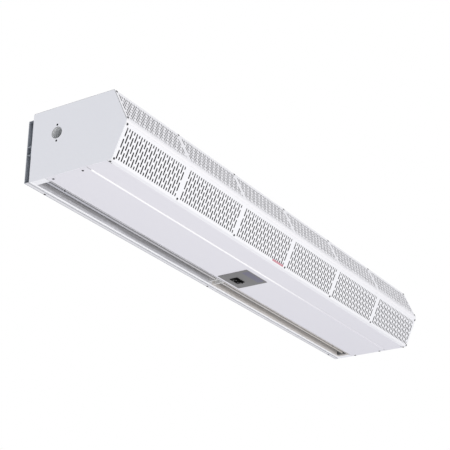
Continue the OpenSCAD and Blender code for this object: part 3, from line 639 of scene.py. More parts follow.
FINISH_OF_NODE: dict[str, Finish] = {
    # a whiter copy of the white paint for the back, top and rear lip: painted light
    "cabinet_shell": PaintedOutside("lip_powder_coat", (1.0, 1.0, 1.0), 0.42, **CASING),
    # darker lines along the left end panel's top and upper-slope edges
    "end_panel_left": PaintedOutside("end_powder_coat", WHITE, 0.46, rims=((3, 0.5 * MM), (5, 0.7 * MM)), **CASING),
    "end_panel_right": CASING_COAT,
    "intake_screen_upper": PaintedOutside(
        "upper_powder_coat", (0.965, 0.96, 0.963), 0.46, skin=0.4 * MM, wrap=1.05 * MM, **CASING,
    ),
    "intake_screen_lower": CASING_COAT,
    "front_strip": PANEL_COAT,
    "access_panel": PANEL_COAT,
    # the channel's inside is coloured blue-grey as painted shade, and its flange edge and rear bend carry painted
    # shade lines
    "wall_bracket": PaintedOutside(
        "channel_powder_coat", (0.885, 0.88, 0.885), 0.45, faces=CHANNEL_FACES,
        skin=1.2 * MM, bare_and_shade=(0.63, 0.65, 0.675), shine=0.2, shade_lines=(CHANNEL_EDGE_SHADE, CHANNEL_BEND_SHADE),
    ),
    "spacer_rail": PowderCoat("rail_powder_coat", (0.66, 0.68, 0.70), 0.45),
    "hanger_angle": HANGER_ZINC,
    "lock_angle": HANGER_ZINC,
    # nozzles: painted shade higher up in the duct
    "nozzle_left": DuctZinc("nozzle_zinc_left", (0.90, 0.90, 0.915), 0.5, 0.1, shade_colour=(0.76, 0.76, 0.775)),
    "nozzle_right": DuctZinc(
        "nozzle_zinc_right", (0.91, 0.895, 0.88), 0.5, 0.1, shade_colour=(0.79, 0.775, 0.76), far_gain=1.3,
    ),
    # painted shade along its lower edge
    "vane_bracket_centre": DrawnMetal(
        "pale_bridge", (0.93, 0.93, 0.92), 0.45, 0.1, far_colour=(0.93, 0.93, 0.92), shade_below=3.0 * MM - MOUNT_Z,
    ),
}


@dataclass
class PaintShop:
    """Makes each finish once and puts it on pieces.

    Attributes:
        made: the materials that it has made, by their names.
    """

    made: dict[str, bpy.types.Material] = field(default_factory=dict)

    def material(self, finish: Finish) -> bpy.types.Material:
        """Returns the material of a finish, which it makes on first use."""
        if finish.name not in self.made:
            self.made[finish.name] = finish.make()
        return self.made[finish.name]

    def coat(self, piece: Piece, finish: Finish) -> None:
        """Gives a piece one finish all over."""
        if not piece.material_slots:
            piece.data.materials.append(None)
        for slot in piece.material_slots:
            slot.material = self.material(finish)

    def coat_nodes(self, frame: dict) -> None:
        """Gives every CAD node the finish of its slot, or its own where it has one."""
        for part in frame["record"]["subparts"]:
            node = part["node"]
            finish = FINISH_OF_NODE.get(node, FINISH_OF_SLOT[part["material_slot"]])
            self.coat(frame["nodes"][node], finish)
            log.info("node %s: %s", node, finish.name)


# ---------------------------------------------------------------- modelling


class Kind(Enum):
    """What an edit works on."""

    VERTS = "VERT"
    EDGES = "EDGE"
    FACES = "FACE"


def take(piece: Piece | None = None) -> None:
    """Leaves edit mode and selects one piece alone, or nothing.

    Args:
        piece: what to select and make active.
    """
    active = bpy.context.view_layer.objects.active
    if active and active.mode == "EDIT":
        bpy.ops.object.mode_set(mode="OBJECT")
    for other in bpy.context.selected_objects:
        other.select_set(False)
    if piece:
        piece.select_set(True)
        bpy.context.view_layer.objects.active = piece


class Blank:
    """A mesh that starts as a primitive and is shaped in edit mode."""

    def __init__(
        self, name: str, primitive: Callable[..., set], stretch: Point = (1.0, 1.0, 1.0), **start: object
    ) -> None:
        """Adds the primitive and sizes it.

        Args:
            name: name of the piece.
            primitive: the operator that adds it.
            stretch: what it is stretched by.
            start: the operator's own values.
        """
        take()
        primitive(**start)
        self.piece = bpy.context.active_object
        self.piece.name = self.piece.data.name = name
        self.piece.scale = stretch
        bpy.ops.object.transform_apply(location=True, rotation=True, scale=True)

    def pick(self, kind: Kind, wanted: Callable[[object], bool] = lambda element: True) -> None:
        """Enters edit mode and selects the elements for which wanted is true, and no others."""
        if self.piece.mode != "EDIT":
            take(self.piece)
            bpy.ops.object.mode_set(mode="EDIT")
        bpy.ops.mesh.select_mode(type=kind.value)
        bpy.ops.mesh.select_all(action="DESELECT")
        mesh = bmesh.from_edit_mesh(self.piece.data)
        elements = {Kind.VERTS: mesh.verts, Kind.EDGES: mesh.edges, Kind.FACES: mesh.faces}[kind]
        for element in elements:
            if wanted(element):
                element.select_set(True)
        bmesh.update_edit_mesh(self.piece.data)

    def narrow(self, share: Point, centre: Point = (0.0, 0.0, 0.0)) -> None:
        """Scales what is selected about a point."""
        bpy.ops.transform.resize(value=share, center_override=centre)

    def push(self, step: Point, share: Point | None = None, centre: Point = (0.0, 0.0, 0.0)) -> None:
        """Extrudes what is selected by a step, and scales the new end where a share is given."""
        bpy.ops.mesh.extrude_region_move(TRANSFORM_OT_translate={"value": step})
        if share:
            self.narrow(share, centre)

    def bevel(self, size: Bevel, affect: str = "EDGES") -> None:
        """Rounds the edges, or else the vertices, that are selected."""
        bpy.ops.mesh.bevel(offset=size[0], segments=size[1], affect=affect)

    def sheet(self, thick: float, corner: Bevel, rim: Bevel) -> None:
        """Makes a sheet of a plane.

        Args:
            thick: how far it is thickened, down z.
            corner: size of its rounded corners.
            rim: size of its rounded lower rim.
        """
        self.pick(Kind.VERTS)
        self.bevel(corner, "VERTICES")
        self.pick(Kind.FACES)
        self.push((0, 0, -thick))
        self.pick(Kind.EDGES, lambda edge: all(abs(v.co.z + thick) < NEAR for v in edge.verts))
        self.bevel(rim)
        self.pick(Kind.FACES)
        bpy.ops.mesh.normals_make_consistent(inside=False)
        bpy.ops.object.mode_set(mode="OBJECT")

    def finish(self, crease: float = 30.0, where: Matrix | None = None) -> Piece:
        """Leaves edit mode, turns the faces outwards and shades them.

        Args:
            crease: the angle in degrees past which an edge stays sharp.
            where: where the finished mesh goes.

        Returns:
            The piece.
        """
        self.pick(Kind.FACES)
        bpy.ops.mesh.remove_doubles(threshold=0.1 * NEAR)
        bpy.ops.mesh.normals_make_consistent(inside=False)
        bpy.ops.object.mode_set(mode="OBJECT")
        bpy.ops.object.shade_smooth_by_angle(angle=math.radians(crease))
        if where:
            self.piece.data.transform(where)
        return self.piece

    def cut(self, tool: Piece, overlapping: bool = False) -> None:
        """Cuts another piece out of this one and discards the tool.

        Args:
            tool: what to cut out.
            overlapping: whether this piece's own shells overlap.
        """
        take(self.piece)
        cutting = self.piece.modifiers.new("cut", "BOOLEAN")
        cutting.operation, cutting.solver, cutting.object = "DIFFERENCE", "EXACT", tool
        cutting.use_self = overlapping
        bpy.ops.object.modifier_apply(modifier="cut")
        bpy.data.objects.remove(tool)


def rounded_box(name: str, size: Point, height: float) -> Piece:
    """Makes a box with its upright edges rounded.

    Args:
        name: name of the piece.
        size: its size.
        height: height of its middle.

    Returns:
        The box.
    """
    blank = Blank(name, bpy.ops.mesh.primitive_cube_add, size, size=1)
    blank.pick(Kind.EDGES, lambda edge: abs(edge.verts[0].co.z - edge.verts[1].co.z) > 1 * MM)
    blank.bevel((0.8 * MM, 3))
    return blank.finish(where=Matrix.Translation((0, 0, height)))


def copied(piece: Piece, name: str, matrix: Matrix) -> Piece:
    """Copies a piece with its own mesh.

    Args:
        piece: what to copy.
        name: name of the copy.
        matrix: where its mesh goes.

    Returns:
        The copy, with its object at the origin.
    """
    twin = bpy.data.objects.new(name, piece.data.copy())
    twin.data.name = name
    twin.data.transform(matrix)
    bpy.context.scene.collection.objects.link(twin)
    return twin


def joined(pieces: list[Piece], name: str) -> Piece:
    """Joins pieces into one, under a new name.

    Args:
        pieces: what to join.
        name: name of the whole.

    Returns:
        The whole.
    """
    take(pieces[0])
    for piece in pieces:
        piece.select_set(True)
    if len(pieces) > 1:
        bpy.ops.object.join()
    whole = bpy.context.active_object
    whole.name = whole.data.name = name
    return whole


def turned_to(axis: Vector) -> Matrix:
    """Returns the turn that takes z to an axis."""
    return Vector((0, 0, 1)).rotation_difference(axis).to_matrix().to_4x4()


def facing(face: bmesh.types.BMFace, axis: Point, least: float = 0.9) -> bool:
    """Tells whether a face looks along an axis."""
    return face.normal.dot(Vector(axis)) > least


def fit(piece: Piece, body: str, slot: str, finish: Finish, shop: PaintShop, *nodes: str) -> None:
    """Dresses a finished piece, sets it on the body that it rides on, and hides the CAD nodes that it stands for.

    Args:
        piece: the finished piece.
        body: the body that it moves with.
        slot: the record's material slot; not used.
        finish: what it is coated with.
        shop: the shop that has the materials.
        nodes: the CAD nodes that it stands for.
    """
    shop.coat(piece, finish)
    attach(piece, body)
    if nodes:
        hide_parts(*nodes)
    log.info("piece %s: %d faces, rides on %s", piece.name, len(piece.data.polygons), body)


# ---------------------------------------------------------------- fasteners


@dataclass
class PanHeadScrew:
    """The one sheet-metal screw that is used all over, with a cross recess.

    Attributes:
        head_r: radius of the head.
        head_h: its height.
        shank_r: radius of the shank.
        shank_l: its length under the head.
        tip_l: length of its tapered tip.
        recess_w: width of the recess's arms.
        recess_l: their length.
        recess_depth: their depth.
        dome: the head's outline from the seat, as shares of its radius and height.
    """

    head_r: float = 3.4 * MM
    head_h: float = 1.6 * MM
    shank_r: float = 1.8 * MM
    shank_l: float = 7 * MM
    tip_l: float = 1.4 * MM
    recess_w: float = 0.75 * MM
    recess_l: float = 3.9 * MM
    recess_depth: float = 1.0 * MM
    dome: tuple[Pair, ...] = ((1.0, 0.28), (0.96, 0.55), (0.86, 0.8), (0.68, 0.94), (0.4, 1.0))

    def model(self) -> Piece:
        """Turns the head and shank from a disc, with the head up z, and cuts the recess."""

        def underside(face: bmesh.types.BMFace) -> bool:
            """Tells the head's flat underside from its other faces."""
            return abs(face.calc_center_median().z) < NEAR and len(face.verts) > 8

        blank = Blank("pan_head_screw", bpy.ops.mesh.primitive_circle_add,
                      vertices=24, radius=self.head_r, fill_type="NGON")
        blank.pick(Kind.FACES)
        r, z = 1.0, 0.0
        for share_r, share_z in self.dome:
            blank.push((0, 0, (share_z - z) * self.head_h), (share_r / r, share_r / r, 1))
            r, z = share_r, share_z
        blank.pick(Kind.FACES, underside)
        bpy.ops.mesh.inset(thickness=self.head_r - self.shank_r)
        blank.pick(Kind.FACES, underside)
        blank.push((0, 0, self.tip_l - self.shank_l))
        blank.push((0, 0, -self.tip_l), (0.3, 0.3, 1))
        for angle in (45.0, 135.0):
            arm = Blank("recess", bpy.ops.mesh.primitive_cube_add,
                        (self.recess_l, self.recess_w, 2 * self.recess_depth), size=1)
            arm.pick(Kind.FACES, lambda face: facing(face, (0, 0, -1)))
            arm.narrow((0.45, 0.8, 1))
            turn = Matrix.Rotation(math.radians(angle), 4, "Z")
            blank.cut(arm.finish(where=Matrix.Translation((0, 0, self.head_h)) @ turn))
        return blank.finish(35.0)


@dataclass
class ScrewRow:
    """The screws that stand for one CAD node.

    Attributes:
        node: the node's name.
        outward: the directions that its heads can face.
    """

    node: str
    outward: tuple[Point, ...]

    def groups(self, node: Piece, reach: float = 14 * MM) -> list[list[Vector]]:
        """Sorts a node's vertices into its screws.

        Args:
            node: the CAD node.
            reach: more than a screw's size and less than the distance between two.

        Returns:
            The vertices of each screw.
        """
        found: list[list[Vector]] = []
        for vertex in node.data.vertices:
            near = next((g for g in found if (g[0] - vertex.co).length < reach), None)
            if near is None:
                found.append([vertex.co.copy()])
            else:
                near.append(vertex.co.copy())
        return found

    def seat(self, group: list[Vector], screw: PanHeadScrew) -> tuple[Vector, Vector]:
        """Finds where one screw's head sits.

        Args:
            group: the screw's vertices.
            screw: the screw, for its head.

        Returns:
            The point under the middle of the head, and the direction it faces.
        """
        best: tuple[float, Vector, Vector] | None = None
        for outward in self.outward:
            axis = Vector(outward).normalized()
            top = max(point.dot(axis) for point in group)
            rim = [point for point in group if abs(point.dot(axis) - top) < 5 * NEAR]
            middle = sum(rim, Vector()) / len(rim)
            spread = max((point - middle).cross(axis).length for point in rim)
            uneven = max((point - middle).cross(axis).length for point in group)
            score = abs(uneven - screw.head_r) + abs(spread - screw.head_r * 0.72)
            if best is None or score < best[0]:
                best = (score, middle - axis * screw.head_h, axis)
        return best[1], best[2]

    def build(self, frame: dict, screw: PanHeadScrew, master: Piece) -> Piece:
        """Sets a copy of the screw at every place, each turned its own way, and returns them as one piece."""
        heads = []
        for number, group in enumerate(self.groups(frame["nodes"][self.node])):
            point, axis = self.seat(group, screw)
            spin = Matrix.Rotation(math.radians(37.0 * number), 4, "Z")
            heads.append(copied(master, f"{self.node}_{number}", Matrix.Translation(point) @ turned_to(axis) @ spin))
        return joined(heads, f"fitted_{self.node}")


DOWN = (0, 0, -1)
SCREW_ROWS = (
    ScrewRow("upper_screws", (UPPER_OUT,)), ScrewRow("lower_screws", (LOWER_OUT,)),
    ScrewRow("nose_screws", (UPPER_OUT, LOWER_OUT)), ScrewRow("lip_screws", (DOWN,)),
    ScrewRow("panel_screws", (DOWN,)), ScrewRow("bracket_screws", (DOWN,)),
)


@dataclass
class VaneScrew:
    """The screw that pinches a vane on its rod, low on the vane's front face.

    Attributes:
        x: its place along the casing.
        body: the vane that it sits in.
        depth: where its head sits.
        height: its height over the underside.
        lean: how far the vane's face leans there, in degrees.
        share: its size against the sheet-metal screw.
    """

    x: float
    body: str
    depth: float = 35.0 * MM
    height: float = 12 * MM
    lean: float = 8.5
    share: float = 0.8

    def build(self, master: Piece, shop: PaintShop) -> None:
        """Sets a smaller copy of the screw in the vane."""
        turn = Matrix.Rotation(math.radians(90.0 + self.lean), 4, "X")
        where = Matrix.Translation(place(self.x, self.depth, self.height))
        piece = copied(master, f"pinch_screw_{self.body}", where @ turn @ Matrix.Scale(self.share, 4))
        fit(piece, self.body, "screw_steel", SCREW_DARK, shop)


# ---------------------------------------------------------------- controls


@dataclass
class ControlPanel:
    """The grey plate, its two switches and their marks.

    Attributes:
        x: middle of the plate along the casing.
        depth: middle of the plate in depth.
        length: its size along the casing.
        width: its size in depth.
        switch_x: middle of the two switches along the casing.
        switch_depth: middle of the switches in depth.
        pitch: distance between them.
        bezel: a switch's rim, as its width, length and thickness.
        body: the box behind the plate.
        well: the hollow that the rocker sits in.
        tag: a terminal tag.
        thick: the plate's thickness.
        corner: size of its rounded corners.
        rim: size of its rounded rim.
        slack: how much larger its holes are than the boxes in them.
        bezel_corner: size of a bezel's rounded corners.
        bezel_rim: size of its rounded rim.
        rocker_w: width of a rocker.
        rocker_z: height of its pivot over the underside.
        rocker_tilt: its tilt at rest, in degrees.
        rocker_half: half its length.
        rocker_end: distance of its face from the pivot at the ends.
        rocker_middle: the same in the middle.
        rocker_dish: depth of the dish in each half.
        rocker_side: where its upright sides end.
        rocker_root: half its length at the back.
        rocker_back: how far it reaches behind the pivot.
        rocker_steps: strips that its face is made of.
        rocker_round: size of its rounded edges.
        rocker_sharp: angle, in radians, above which an edge is rounded.
        pin: radius of its pivot pin, and how much longer that is than the rocker is wide.
        pin_round: size of the pin's rounded ends.
        mark_y: how far along the face its marks are.
        ring: radius and stroke of a ring mark.
        bar: width and length of a bar mark.
        mark_h: height of a mark, of which a third is sunk into the face.
        bars_apart: half the distance between two bars.
    """

    x: float
    depth: float
    length: float
    width: float
    switch_x: float
    switch_depth: float
    pitch: float
    bezel: Point
    body: Point
    well: Point = (16 * MM, 23.6 * MM, 8 * MM)
    tag: Point = (6.3 * MM, 0.8 * MM, 6 * MM)
    thick: float = 1 * MM
    corner: Bevel = (3 * MM, 6)
    rim: Bevel = (0.25 * MM, 2)
    slack: float = 0.4 * MM
    bezel_corner: Bevel = (1.4 * MM, 5)
    bezel_rim: Bevel = (0.7 * MM, 3)
    rocker_w: float = 15.2 * MM
    rocker_z: float = 0.5 * MM
    rocker_tilt: float = 12.0
    rocker_half: float = 10.3 * MM
    rocker_end: float = 6 * MM
    rocker_middle: float = 4.4 * MM
    rocker_dish: float = 0.45 * MM
    rocker_side: float = 2 * MM
    rocker_root: float = 4 * MM
    rocker_back: float = 3.2 * MM
    rocker_steps: int = 20
    rocker_round: Bevel = (0.45 * MM, 3)
    rocker_sharp: float = 0.9
    pin: Pair = (1.2 * MM, 1.7 * MM)
    pin_round: Bevel = (0.2 * MM, 2)
    mark_y: float = 5.6 * MM
    ring: Pair = (1.7 * MM, 0.45 * MM)
    bar: Pair = (0.5 * MM, 3.4 * MM)
    mark_h: float = 0.3 * MM
    bars_apart: float = 0.9 * MM

    @classmethod
    def measured(cls) -> "ControlPanel":
        """Makes the panel with the places and sizes that the CAD pieces have."""
        (low, high), (left_low, left_high), (right_low, right_high) = (
            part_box(name) for name in ("control_plate", "switch_body_power", "switch_body_speed"))
        wide, long = left_high[0] - left_low[0], left_high[1] - left_low[1]
        rim = 3 * MM
        return cls(
            x=(low[0] + high[0]) / 2, depth=-STANDOFF - (low[1] + high[1]) / 2,
            length=high[0] - low[0], width=high[1] - low[1],
            switch_x=(left_low[0] + right_high[0]) / 2, pitch=right_low[0] - left_low[0],
            switch_depth=-STANDOFF - (left_low[1] + left_high[1]) / 2,
            bezel=(wide, long, 2 * MM), body=(wide - rim, long - rim, 22 * MM),
        )

    def switch_place(self, side: int, height: float = 0.0) -> Vector:
        """Returns the middle of a switch, at a height."""
        return place(self.switch_x + side * self.pitch / 2, self.switch_depth, height)

    def plate(self) -> Piece:
        """Cuts the plate from sheet, rounds its corners and rim, and cuts the holes for the switches."""
        blank = Blank("control_panel_plate", bpy.ops.mesh.primitive_plane_add, (self.length, self.width, 1), size=1)
        blank.sheet(self.thick, self.corner, self.rim)
        blank.piece.data.transform(Matrix.Translation(place(self.x, self.depth, 0)))
        for side in (-1, 1):
            size = (self.body[0] + self.slack, self.body[1] + self.slack, 4 * self.thick)
            tool = Blank("window", bpy.ops.mesh.primitive_cube_add, size, size=1).piece
            tool.data.transform(Matrix.Translation(self.switch_place(side)))
            blank.cut(tool)
        return blank.finish()

    def switch(self, side: int, name: str) -> Piece:
        """Builds a switch body: bezel, well, box behind the plate and two tags.

        Args:
            side: -1 for the left switch, 1 for the right one.
            name: name of the piece.

        Returns:
            The piece, in its place.
        """
        wide, long, thick = self.bezel
        blank = Blank(name, bpy.ops.mesh.primitive_plane_add, (wide, long, 1), size=1)
        blank.sheet(thick, self.bezel_corner, self.bezel_rim)
        box = rounded_box("switch_box", self.body, self.body[2] / 2 - 0.2 * MM)
        blank.piece = joined([blank.piece, box], name)
        hollow = (*self.well[:2], self.well[2] + 2 * thick)
        blank.cut(rounded_box("well", hollow, (self.well[2] - 2 * thick) / 2 - 1 * MM), True)
        tags = []
        for end in (-1, 1):
            tag = Blank("tag", bpy.ops.mesh.primitive_cube_add, self.tag, size=1)
            tag.pick(Kind.FACES, lambda face: facing(face, (0, 0, 1)))
            tag.narrow((0.6, 1, 1), (0, 0, self.tag[2] / 2))
            root = self.body[2] + self.tag[2] / 2 - 0.3 * MM
            tags.append(tag.finish(where=Matrix.Translation((0, end * self.body[1] / 4, root))))
        piece = joined([blank.finish(), *tags], name)
        piece.data.transform(Matrix.Translation(self.switch_place(side, -self.thick)))
        return piece

    def face_height(self, y: float) -> float:
        """Returns how far out a rocker's face lies at a place along it: two shallow dishes that meet in the middle."""
        share = abs(y) / self.rocker_half
        dish = self.rocker_dish * math.sin(math.pi * share)
        return self.rocker_middle + (self.rocker_end - self.rocker_middle) * share - dish

    def rocker(self, name: str) -> Piece:
        """Shapes one rocker round its pivot, before it is tilted.

        Args:
            name: name of the piece.

        Returns:
            The rocker, with its pivot at the origin.
        """
        blank = Blank(name, bpy.ops.mesh.primitive_plane_add, (self.rocker_w, 2 * self.rocker_half, 1), size=1)
        rows = [self.rocker_half * (2 * step / self.rocker_steps - 1) for step in range(self.rocker_steps + 1)]
        for y in rows[1:-1]:
            blank.pick(Kind.FACES)
            bpy.ops.mesh.bisect(plane_co=(0, y, 0), plane_no=(0, 1, 0))
        for y in rows:
            blank.pick(Kind.VERTS, lambda vert: abs(vert.co.y - y) < NEAR)
            bpy.ops.transform.translate(value=(0, 0, -self.face_height(y)))
        blank.pick(Kind.FACES)
        blank.push((0, 0, self.rocker_end - self.rocker_side), (1, 1, 0), (0, 0, -self.rocker_side))
        blank.push((0, 0, self.rocker_side + self.rocker_back), (1, self.rocker_root / self.rocker_half, 1))
        blank.pick(Kind.EDGES, lambda edge: edge.calc_face_angle(0) > self.rocker_sharp
                   and min(vert.co.z for vert in edge.verts) < NEAR - self.rocker_side)
        blank.bevel(self.rocker_round)
        shape = blank.finish(32.0)
        pin = Blank("pin", bpy.ops.mesh.primitive_cylinder_add,
                    vertices=20, radius=self.pin[0], depth=self.rocker_w + self.pin[1], rotation=(0, math.pi / 2, 0))
        pin.pick(Kind.EDGES, lambda edge: abs(edge.verts[0].co.x - edge.verts[1].co.x) < NEAR)
        pin.bevel(self.pin_round)
        return joined([shape, pin.finish()], name)

    def mark(self, name: str, ring: bool, y: float) -> Piece:
        """Moulds a bar or a ring that lies on the rocker's face.

        Args:
            name: name of the piece.
            ring: whether it is a ring.
            y: where along the face its middle is.

        Returns:
            The mark, in the rocker's own place.
        """
        if ring:
            blank = Blank(name, bpy.ops.mesh.primitive_circle_add, vertices=28, radius=self.ring[0], fill_type="NGON")
            blank.pick(Kind.FACES)
            bpy.ops.mesh.inset(thickness=self.ring[1])
            bpy.ops.mesh.delete(type="FACE")
        else:
            blank = Blank(name, bpy.ops.mesh.primitive_plane_add, (*self.bar, 1), size=1)
            blank.pick(Kind.FACES)
            bpy.ops.mesh.subdivide(number_cuts=5)
        blank.pick(Kind.FACES)
        blank.push((0, 0, self.mark_h))
        blank.pick(Kind.VERTS)
        bpy.ops.transform.translate(value=(0, y, -self.mark_h / 3))
        mesh = bmesh.from_edit_mesh(blank.piece.data)
        for vert in mesh.verts:
            vert.co.z -= self.face_height(vert.co.y)
        bmesh.update_edit_mesh(blank.piece.data)
        return blank.finish()

    def marks(self, role: str) -> Piece:
        """Makes a rocker's marks: a bar at its far end, and a ring or two bars at its near end."""
        far = self.mark(f"rocker_mark_{role}_on", False, -self.mark_y)
        near = self.mark(f"rocker_mark_{role}_off", role == "power", self.mark_y)
        if role == "power":
            return joined([far, near], f"rocker_marks_{role}")
        second = self.mark("rocker_mark_speed_two", False, self.mark_y)
        apart = Matrix.Translation((self.bars_apart, 0, 0))
        second.data.transform(apart)
        near.data.transform(apart.inverted())
        return joined([far, near, second], f"rocker_marks_{role}")

    def build(self, shop: PaintShop) -> None:
        """Builds the plate, the switches and the rockers with their marks, and dresses them."""
        fit(self.plate(), "casing", "plate_grey", PLATE_COAT, shop, "control_plate")
        tilt = Matrix.Rotation(math.radians(self.rocker_tilt), 4, "X")
        for side, role in ((-1, "power"), (1, "speed")):
            body = self.switch(side, f"switch_shell_{role}")
            fit(body, "casing", "switch_black", SWITCH_NYLON, shop, f"switch_body_{role}")
            where = Matrix.Translation(self.switch_place(side, self.rocker_z)) @ tilt
            key = self.rocker(f"rocker_key_{role}")
            key.data.transform(where)
            fit(key, f"rocker_{role}", "switch_black", SWITCH_NYLON, shop, f"rocker_{role}")
            label = self.marks(role)
            label.data.transform(where)
            fit(label, f"rocker_{role}", "switch_black", MARK_PRINT, shop)


# ---------------------------------------------------------------- trims and plates


@dataclass
class SlopePlate:
    """The plain red plate on the lower screen's margin.

    Attributes:
        x_low: where it starts along the casing.
        x_high: where it ends.
        start: distance of its upper edge from the nose, down the lower slope.
        end: distance of its lower edge.
        thick: its thickness.
        corner: size of its rounded corners.
        lift: its gap to the screen.
    """

    x_low: float = -75.5 * MM
    x_high: float = -9.5 * MM
    start: float = 107.2 * MM
    end: float = 113.4 * MM
    thick: float = 0.35 * MM
    corner: Bevel = (0.9 * MM, 4)
    lift: float = 0.02 * MM

    def build(self, shop: PaintShop) -> None:
        """Cuts the plate, rounds it, lays it on the slope and dresses it."""
        size = (self.x_high - self.x_low, self.end - self.start, 1)
        blank = Blank("slope_plate", bpy.ops.mesh.primitive_plane_add, size, size=1)
        blank.pick(Kind.VERTS)
        blank.bevel(self.corner, "VERTICES")
        blank.pick(Kind.FACES)
        blank.push((0, 0, self.thick))
        outward = Vector(LOWER_OUT)
        point = NOSE + (FOOT - NOSE).normalized() * (self.start + self.end) / 2 + outward * self.lift
        point.x = (self.x_low + self.x_high) / 2
        piece = blank.finish(where=Matrix.Translation(point) @ turned_to(outward))
        fit(piece, "casing", "white_sheet", RED_COAT, shop)


@dataclass
class SeamTrim:
    """The white edge trim that is clipped over the front strip's rear edge.

    Attributes:
        depth: its middle, over the gap between the access panel and the strip.
        radius: half its width, and how far it stands below the underside.
        half_l: half its length, along the casing.
        ends: how far each of its two rounded ends reaches on, and the share that its section shrinks to.
    """

    depth: float = 198.6 * MM
    radius: float = 2.6 * MM
    half_l: float = 891 * MM
    ends: tuple[Pair, ...] = ((0.6 * MM, 0.85), (0.4 * MM, 0.5))

    def build(self, shop: PaintShop) -> None:
        """Draws the trim out of a ring, rounds its two ends and dresses it."""
        blank = Blank("seam_trim", bpy.ops.mesh.primitive_circle_add,
                      vertices=20, radius=self.radius, fill_type="NGON")
        blank.pick(Kind.FACES)
        blank.push((0, 0, 2 * self.half_l))
        for end, outwards in ((0.0, -1.0), (2 * self.half_l, 1.0)):
            blank.pick(Kind.FACES, lambda face: all(abs(v.co.z - end) < NEAR for v in face.verts))
            for step, share in self.ends:
                blank.push((0, 0, outwards * step), (share, share, 1))
        where = Matrix.Translation(place(-self.half_l, self.depth, 0.1 * MM)) @ ALONG_CASING
        fit(blank.finish(where=where), "casing", "white_sheet", TRIM_VINYL, shop)


@dataclass
class PortCollar:
    """The short zinc collar that lines the round port behind the left end panel.

    Attributes:
        depth: the port's middle in depth.
        height: its height over the underside.
        x: the inner face of the end panel.
        bore_r: the collar's inner radius.
        wall: its wall.
        length: how far it reaches inwards.
        lip: length of its rolled inner end.
        flare: how much wider it gets there.
    """

    depth: float = 88 * MM
    height: float = 132 * MM
    x: float = -912.9 * MM
    bore_r: float = 18.3 * MM
    wall: float = 1.2 * MM
    length: float = 33 * MM
    lip: float = 1.5 * MM
    flare: float = 1.06

    def build(self, shop: PaintShop) -> None:
        """Draws the collar from a ring, rolls its inner end outwards and dresses it."""
        blank = Blank("port_collar", bpy.ops.mesh.primitive_circle_add,
                      vertices=48, radius=self.bore_r + self.wall, fill_type="NGON")
        blank.pick(Kind.FACES)
        bpy.ops.mesh.inset(thickness=self.wall)
        bpy.ops.mesh.delete(type="FACE")
        blank.pick(Kind.FACES)
        blank.push((0, 0, self.length))
        blank.push((0, 0, self.lip), (self.flare, self.flare, 1))
        where = Matrix.Translation(place(self.x, self.depth, self.height)) @ ALONG_CASING
        # its near-white colour stands in for the light inside the port
        fit(blank.finish(where=where), "casing", "zinc_sheet", COLLAR_ZINC, shop)


# ---------------------------------------------------------------- studio


@dataclass
class Lamp:
    """One soft lamp.

    Attributes:
        name: its name.
        place: where it stands.
        aim: the point it looks at.
        size: its width and height.
        power: its power in watts.
        colour: its colour.
    """

    name: str
    place: Point
    aim: Point
    size: Pair
    power: float
    colour: Colour = (1.0, 1.0, 1.0)

    def light(self) -> None:
        """Hangs the lamp."""
        data = bpy.data.lights.new(self.name, "AREA")
        data.shape, data.size, data.size_y = "RECTANGLE", *self.size
        data.energy, data.color = self.power, self.colour
        lamp = bpy.data.objects.new(self.name, data)
        bpy.context.scene.collection.objects.link(lamp)
        lamp.location = self.place
        lamp.rotation_euler = (Vector(self.aim) - Vector(self.place)).to_track_quat("-Z", "Y").to_euler()


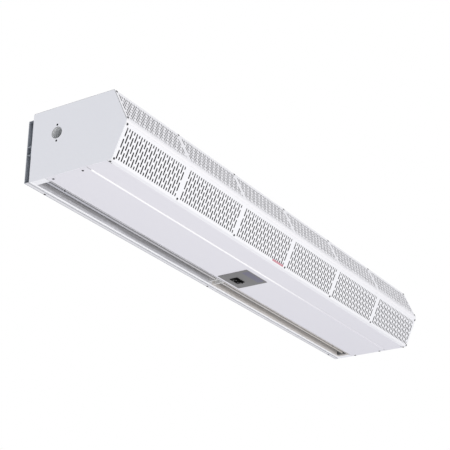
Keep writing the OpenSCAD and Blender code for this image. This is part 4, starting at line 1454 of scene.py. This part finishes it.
@dataclass
class Studio:
    """The white studio in which the object hangs.

    Attributes:
        floor_z: height of the floor.
        floor_size: its width.
        floor_colour: its linear colour.
        ambient: strength of the light from all round.
        ambient_colour: its colour.
        camera_place: where the camera stands.
        camera_turn: its turns round x, y and z.
        lens: its focal length in millimetres.
        sensor: its sensor's width in millimetres.
        clip: the nearest and the farthest distance that it sees.
        lamps: the lamps.
    """

    floor_z: float = -6.8
    floor_size: float = 120.0
    floor_colour: tuple[float, ...] = (0.85, 0.85, 0.88, 1.0)
    ambient: float = 0.85
    ambient_colour: Colour = (0.93, 0.945, 0.995)
    camera_place: Point = (-3.36151, -2.22789, -1.6358)
    camera_turn: Point = (1.982239, -0.012712, -1.00691)
    lens: float = 104.32
    sensor: float = 36.0
    clip: Pair = (0.05, 400.0)
    lamps: tuple[Lamp, ...] = (
        Lamp("front_lamp", (-1.0, -2.9, -2.8), (-0.1, -0.2, 0.0), (3.0, 2.0), 64.0, (1.0, 0.96, 0.885)),
    )

    def white_to_camera(self, tree: bpy.types.NodeTree, kind: str, lit: bpy.types.Node, output: str) -> None:
        """Shows the camera plain white, also in metal and through glass, and leaves all else to another shader.

        Args:
            tree: the tree to work in.
            kind: the white shader's type, without ShaderNode.
            lit: the other shader's node.
            output: name of the tree's output node.
        """
        rays = tree.nodes.new("ShaderNodeLightPath")
        first, second = (tree.nodes.new("ShaderNodeMath") for _ in range(2))
        for node, pair in ((first, ("Is Camera Ray", "Is Glossy Ray")), (second, ("Is Transmission Ray",))):
            node.operation = "MAXIMUM"
            for number, ray in enumerate(pair):
                tree.links.new(rays.outputs[ray], node.inputs[number])
        tree.links.new(first.outputs[0], second.inputs[1])
        white = tree.nodes.new("ShaderNode" + kind)
        white.inputs[0].default_value, white.inputs[1].default_value = FULL_WHITE, 1.0
        mixed = tree.nodes.new("ShaderNodeMixShader")
        for number, node in enumerate((second, lit, white)):
            tree.links.new(node.outputs[0], mixed.inputs[number])
        tree.links.new(mixed.outputs[0], tree.nodes[output].inputs[0])

    def world(self) -> None:
        """Makes the light from all round, and the white that the camera sees."""
        world = bpy.data.worlds.new("studio")
        bpy.context.scene.world = world
        world.use_nodes = True
        lit = world.node_tree.nodes["Background"]
        lit.inputs[0].default_value, lit.inputs[1].default_value = (*self.ambient_colour, 1.0), self.ambient
        self.white_to_camera(world.node_tree, "Background", lit, "World Output")

    def floor(self) -> None:
        """Lays the pale floor."""
        blank = Blank("floor", bpy.ops.mesh.primitive_plane_add, size=self.floor_size, location=(0, 0, self.floor_z))
        floor = blank.finish()
        paint = Graph("pale_floor")
        paint.give("Base Color", self.floor_colour)
        paint.give("Roughness", 0.9)
        self.white_to_camera(paint.tree, "Emission", paint.surface, "Material Output")
        floor.data.materials.append(paint.material)

    def camera(self) -> None:
        """Puts the camera where the photograph was taken from."""
        data = bpy.data.cameras.new("camera")
        data.lens, data.sensor_width = self.lens, self.sensor
        data.clip_start, data.clip_end = self.clip
        camera = bpy.data.objects.new("camera", data)
        bpy.context.scene.collection.objects.link(camera)
        camera.location, camera.rotation_euler = self.camera_place, self.camera_turn
        bpy.context.scene.camera = camera

    def build(self) -> None:
        """Sets up the camera, the floor, the world and the lamps."""
        bpy.context.scene.view_settings.view_transform = "Standard"
        self.camera()
        self.world()
        self.floor()
        for lamp in self.lamps:
            lamp.light()
        log.info("studio: %d lamps, floor at %.1f m", len(self.lamps), self.floor_z)


def main() -> None:
    """Loads the frame, dresses it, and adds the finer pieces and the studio."""
    logging.basicConfig(level=logging.INFO, format="%(name)s: %(message)s")
    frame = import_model()
    Studio().build()
    shop = PaintShop()
    shop.coat_nodes(frame)
    screw = PanHeadScrew()
    master = screw.model()
    for row in SCREW_ROWS:
        fit(row.build(frame, screw, master), "casing", "screw_steel", SCREW_ZINC, shop, row.node)
    for side, vane in ((-1, "vane_left"), (1, "vane_right")):
        VaneScrew(side * PINCH_X, vane).build(master, shop)
    bpy.data.objects.remove(master)
    ControlPanel.measured().build(shop)
    SlopePlate().build(shop)
    SeamTrim().build(shop)
    PortCollar().build(shop)


if __name__ == "__main__":
    main()
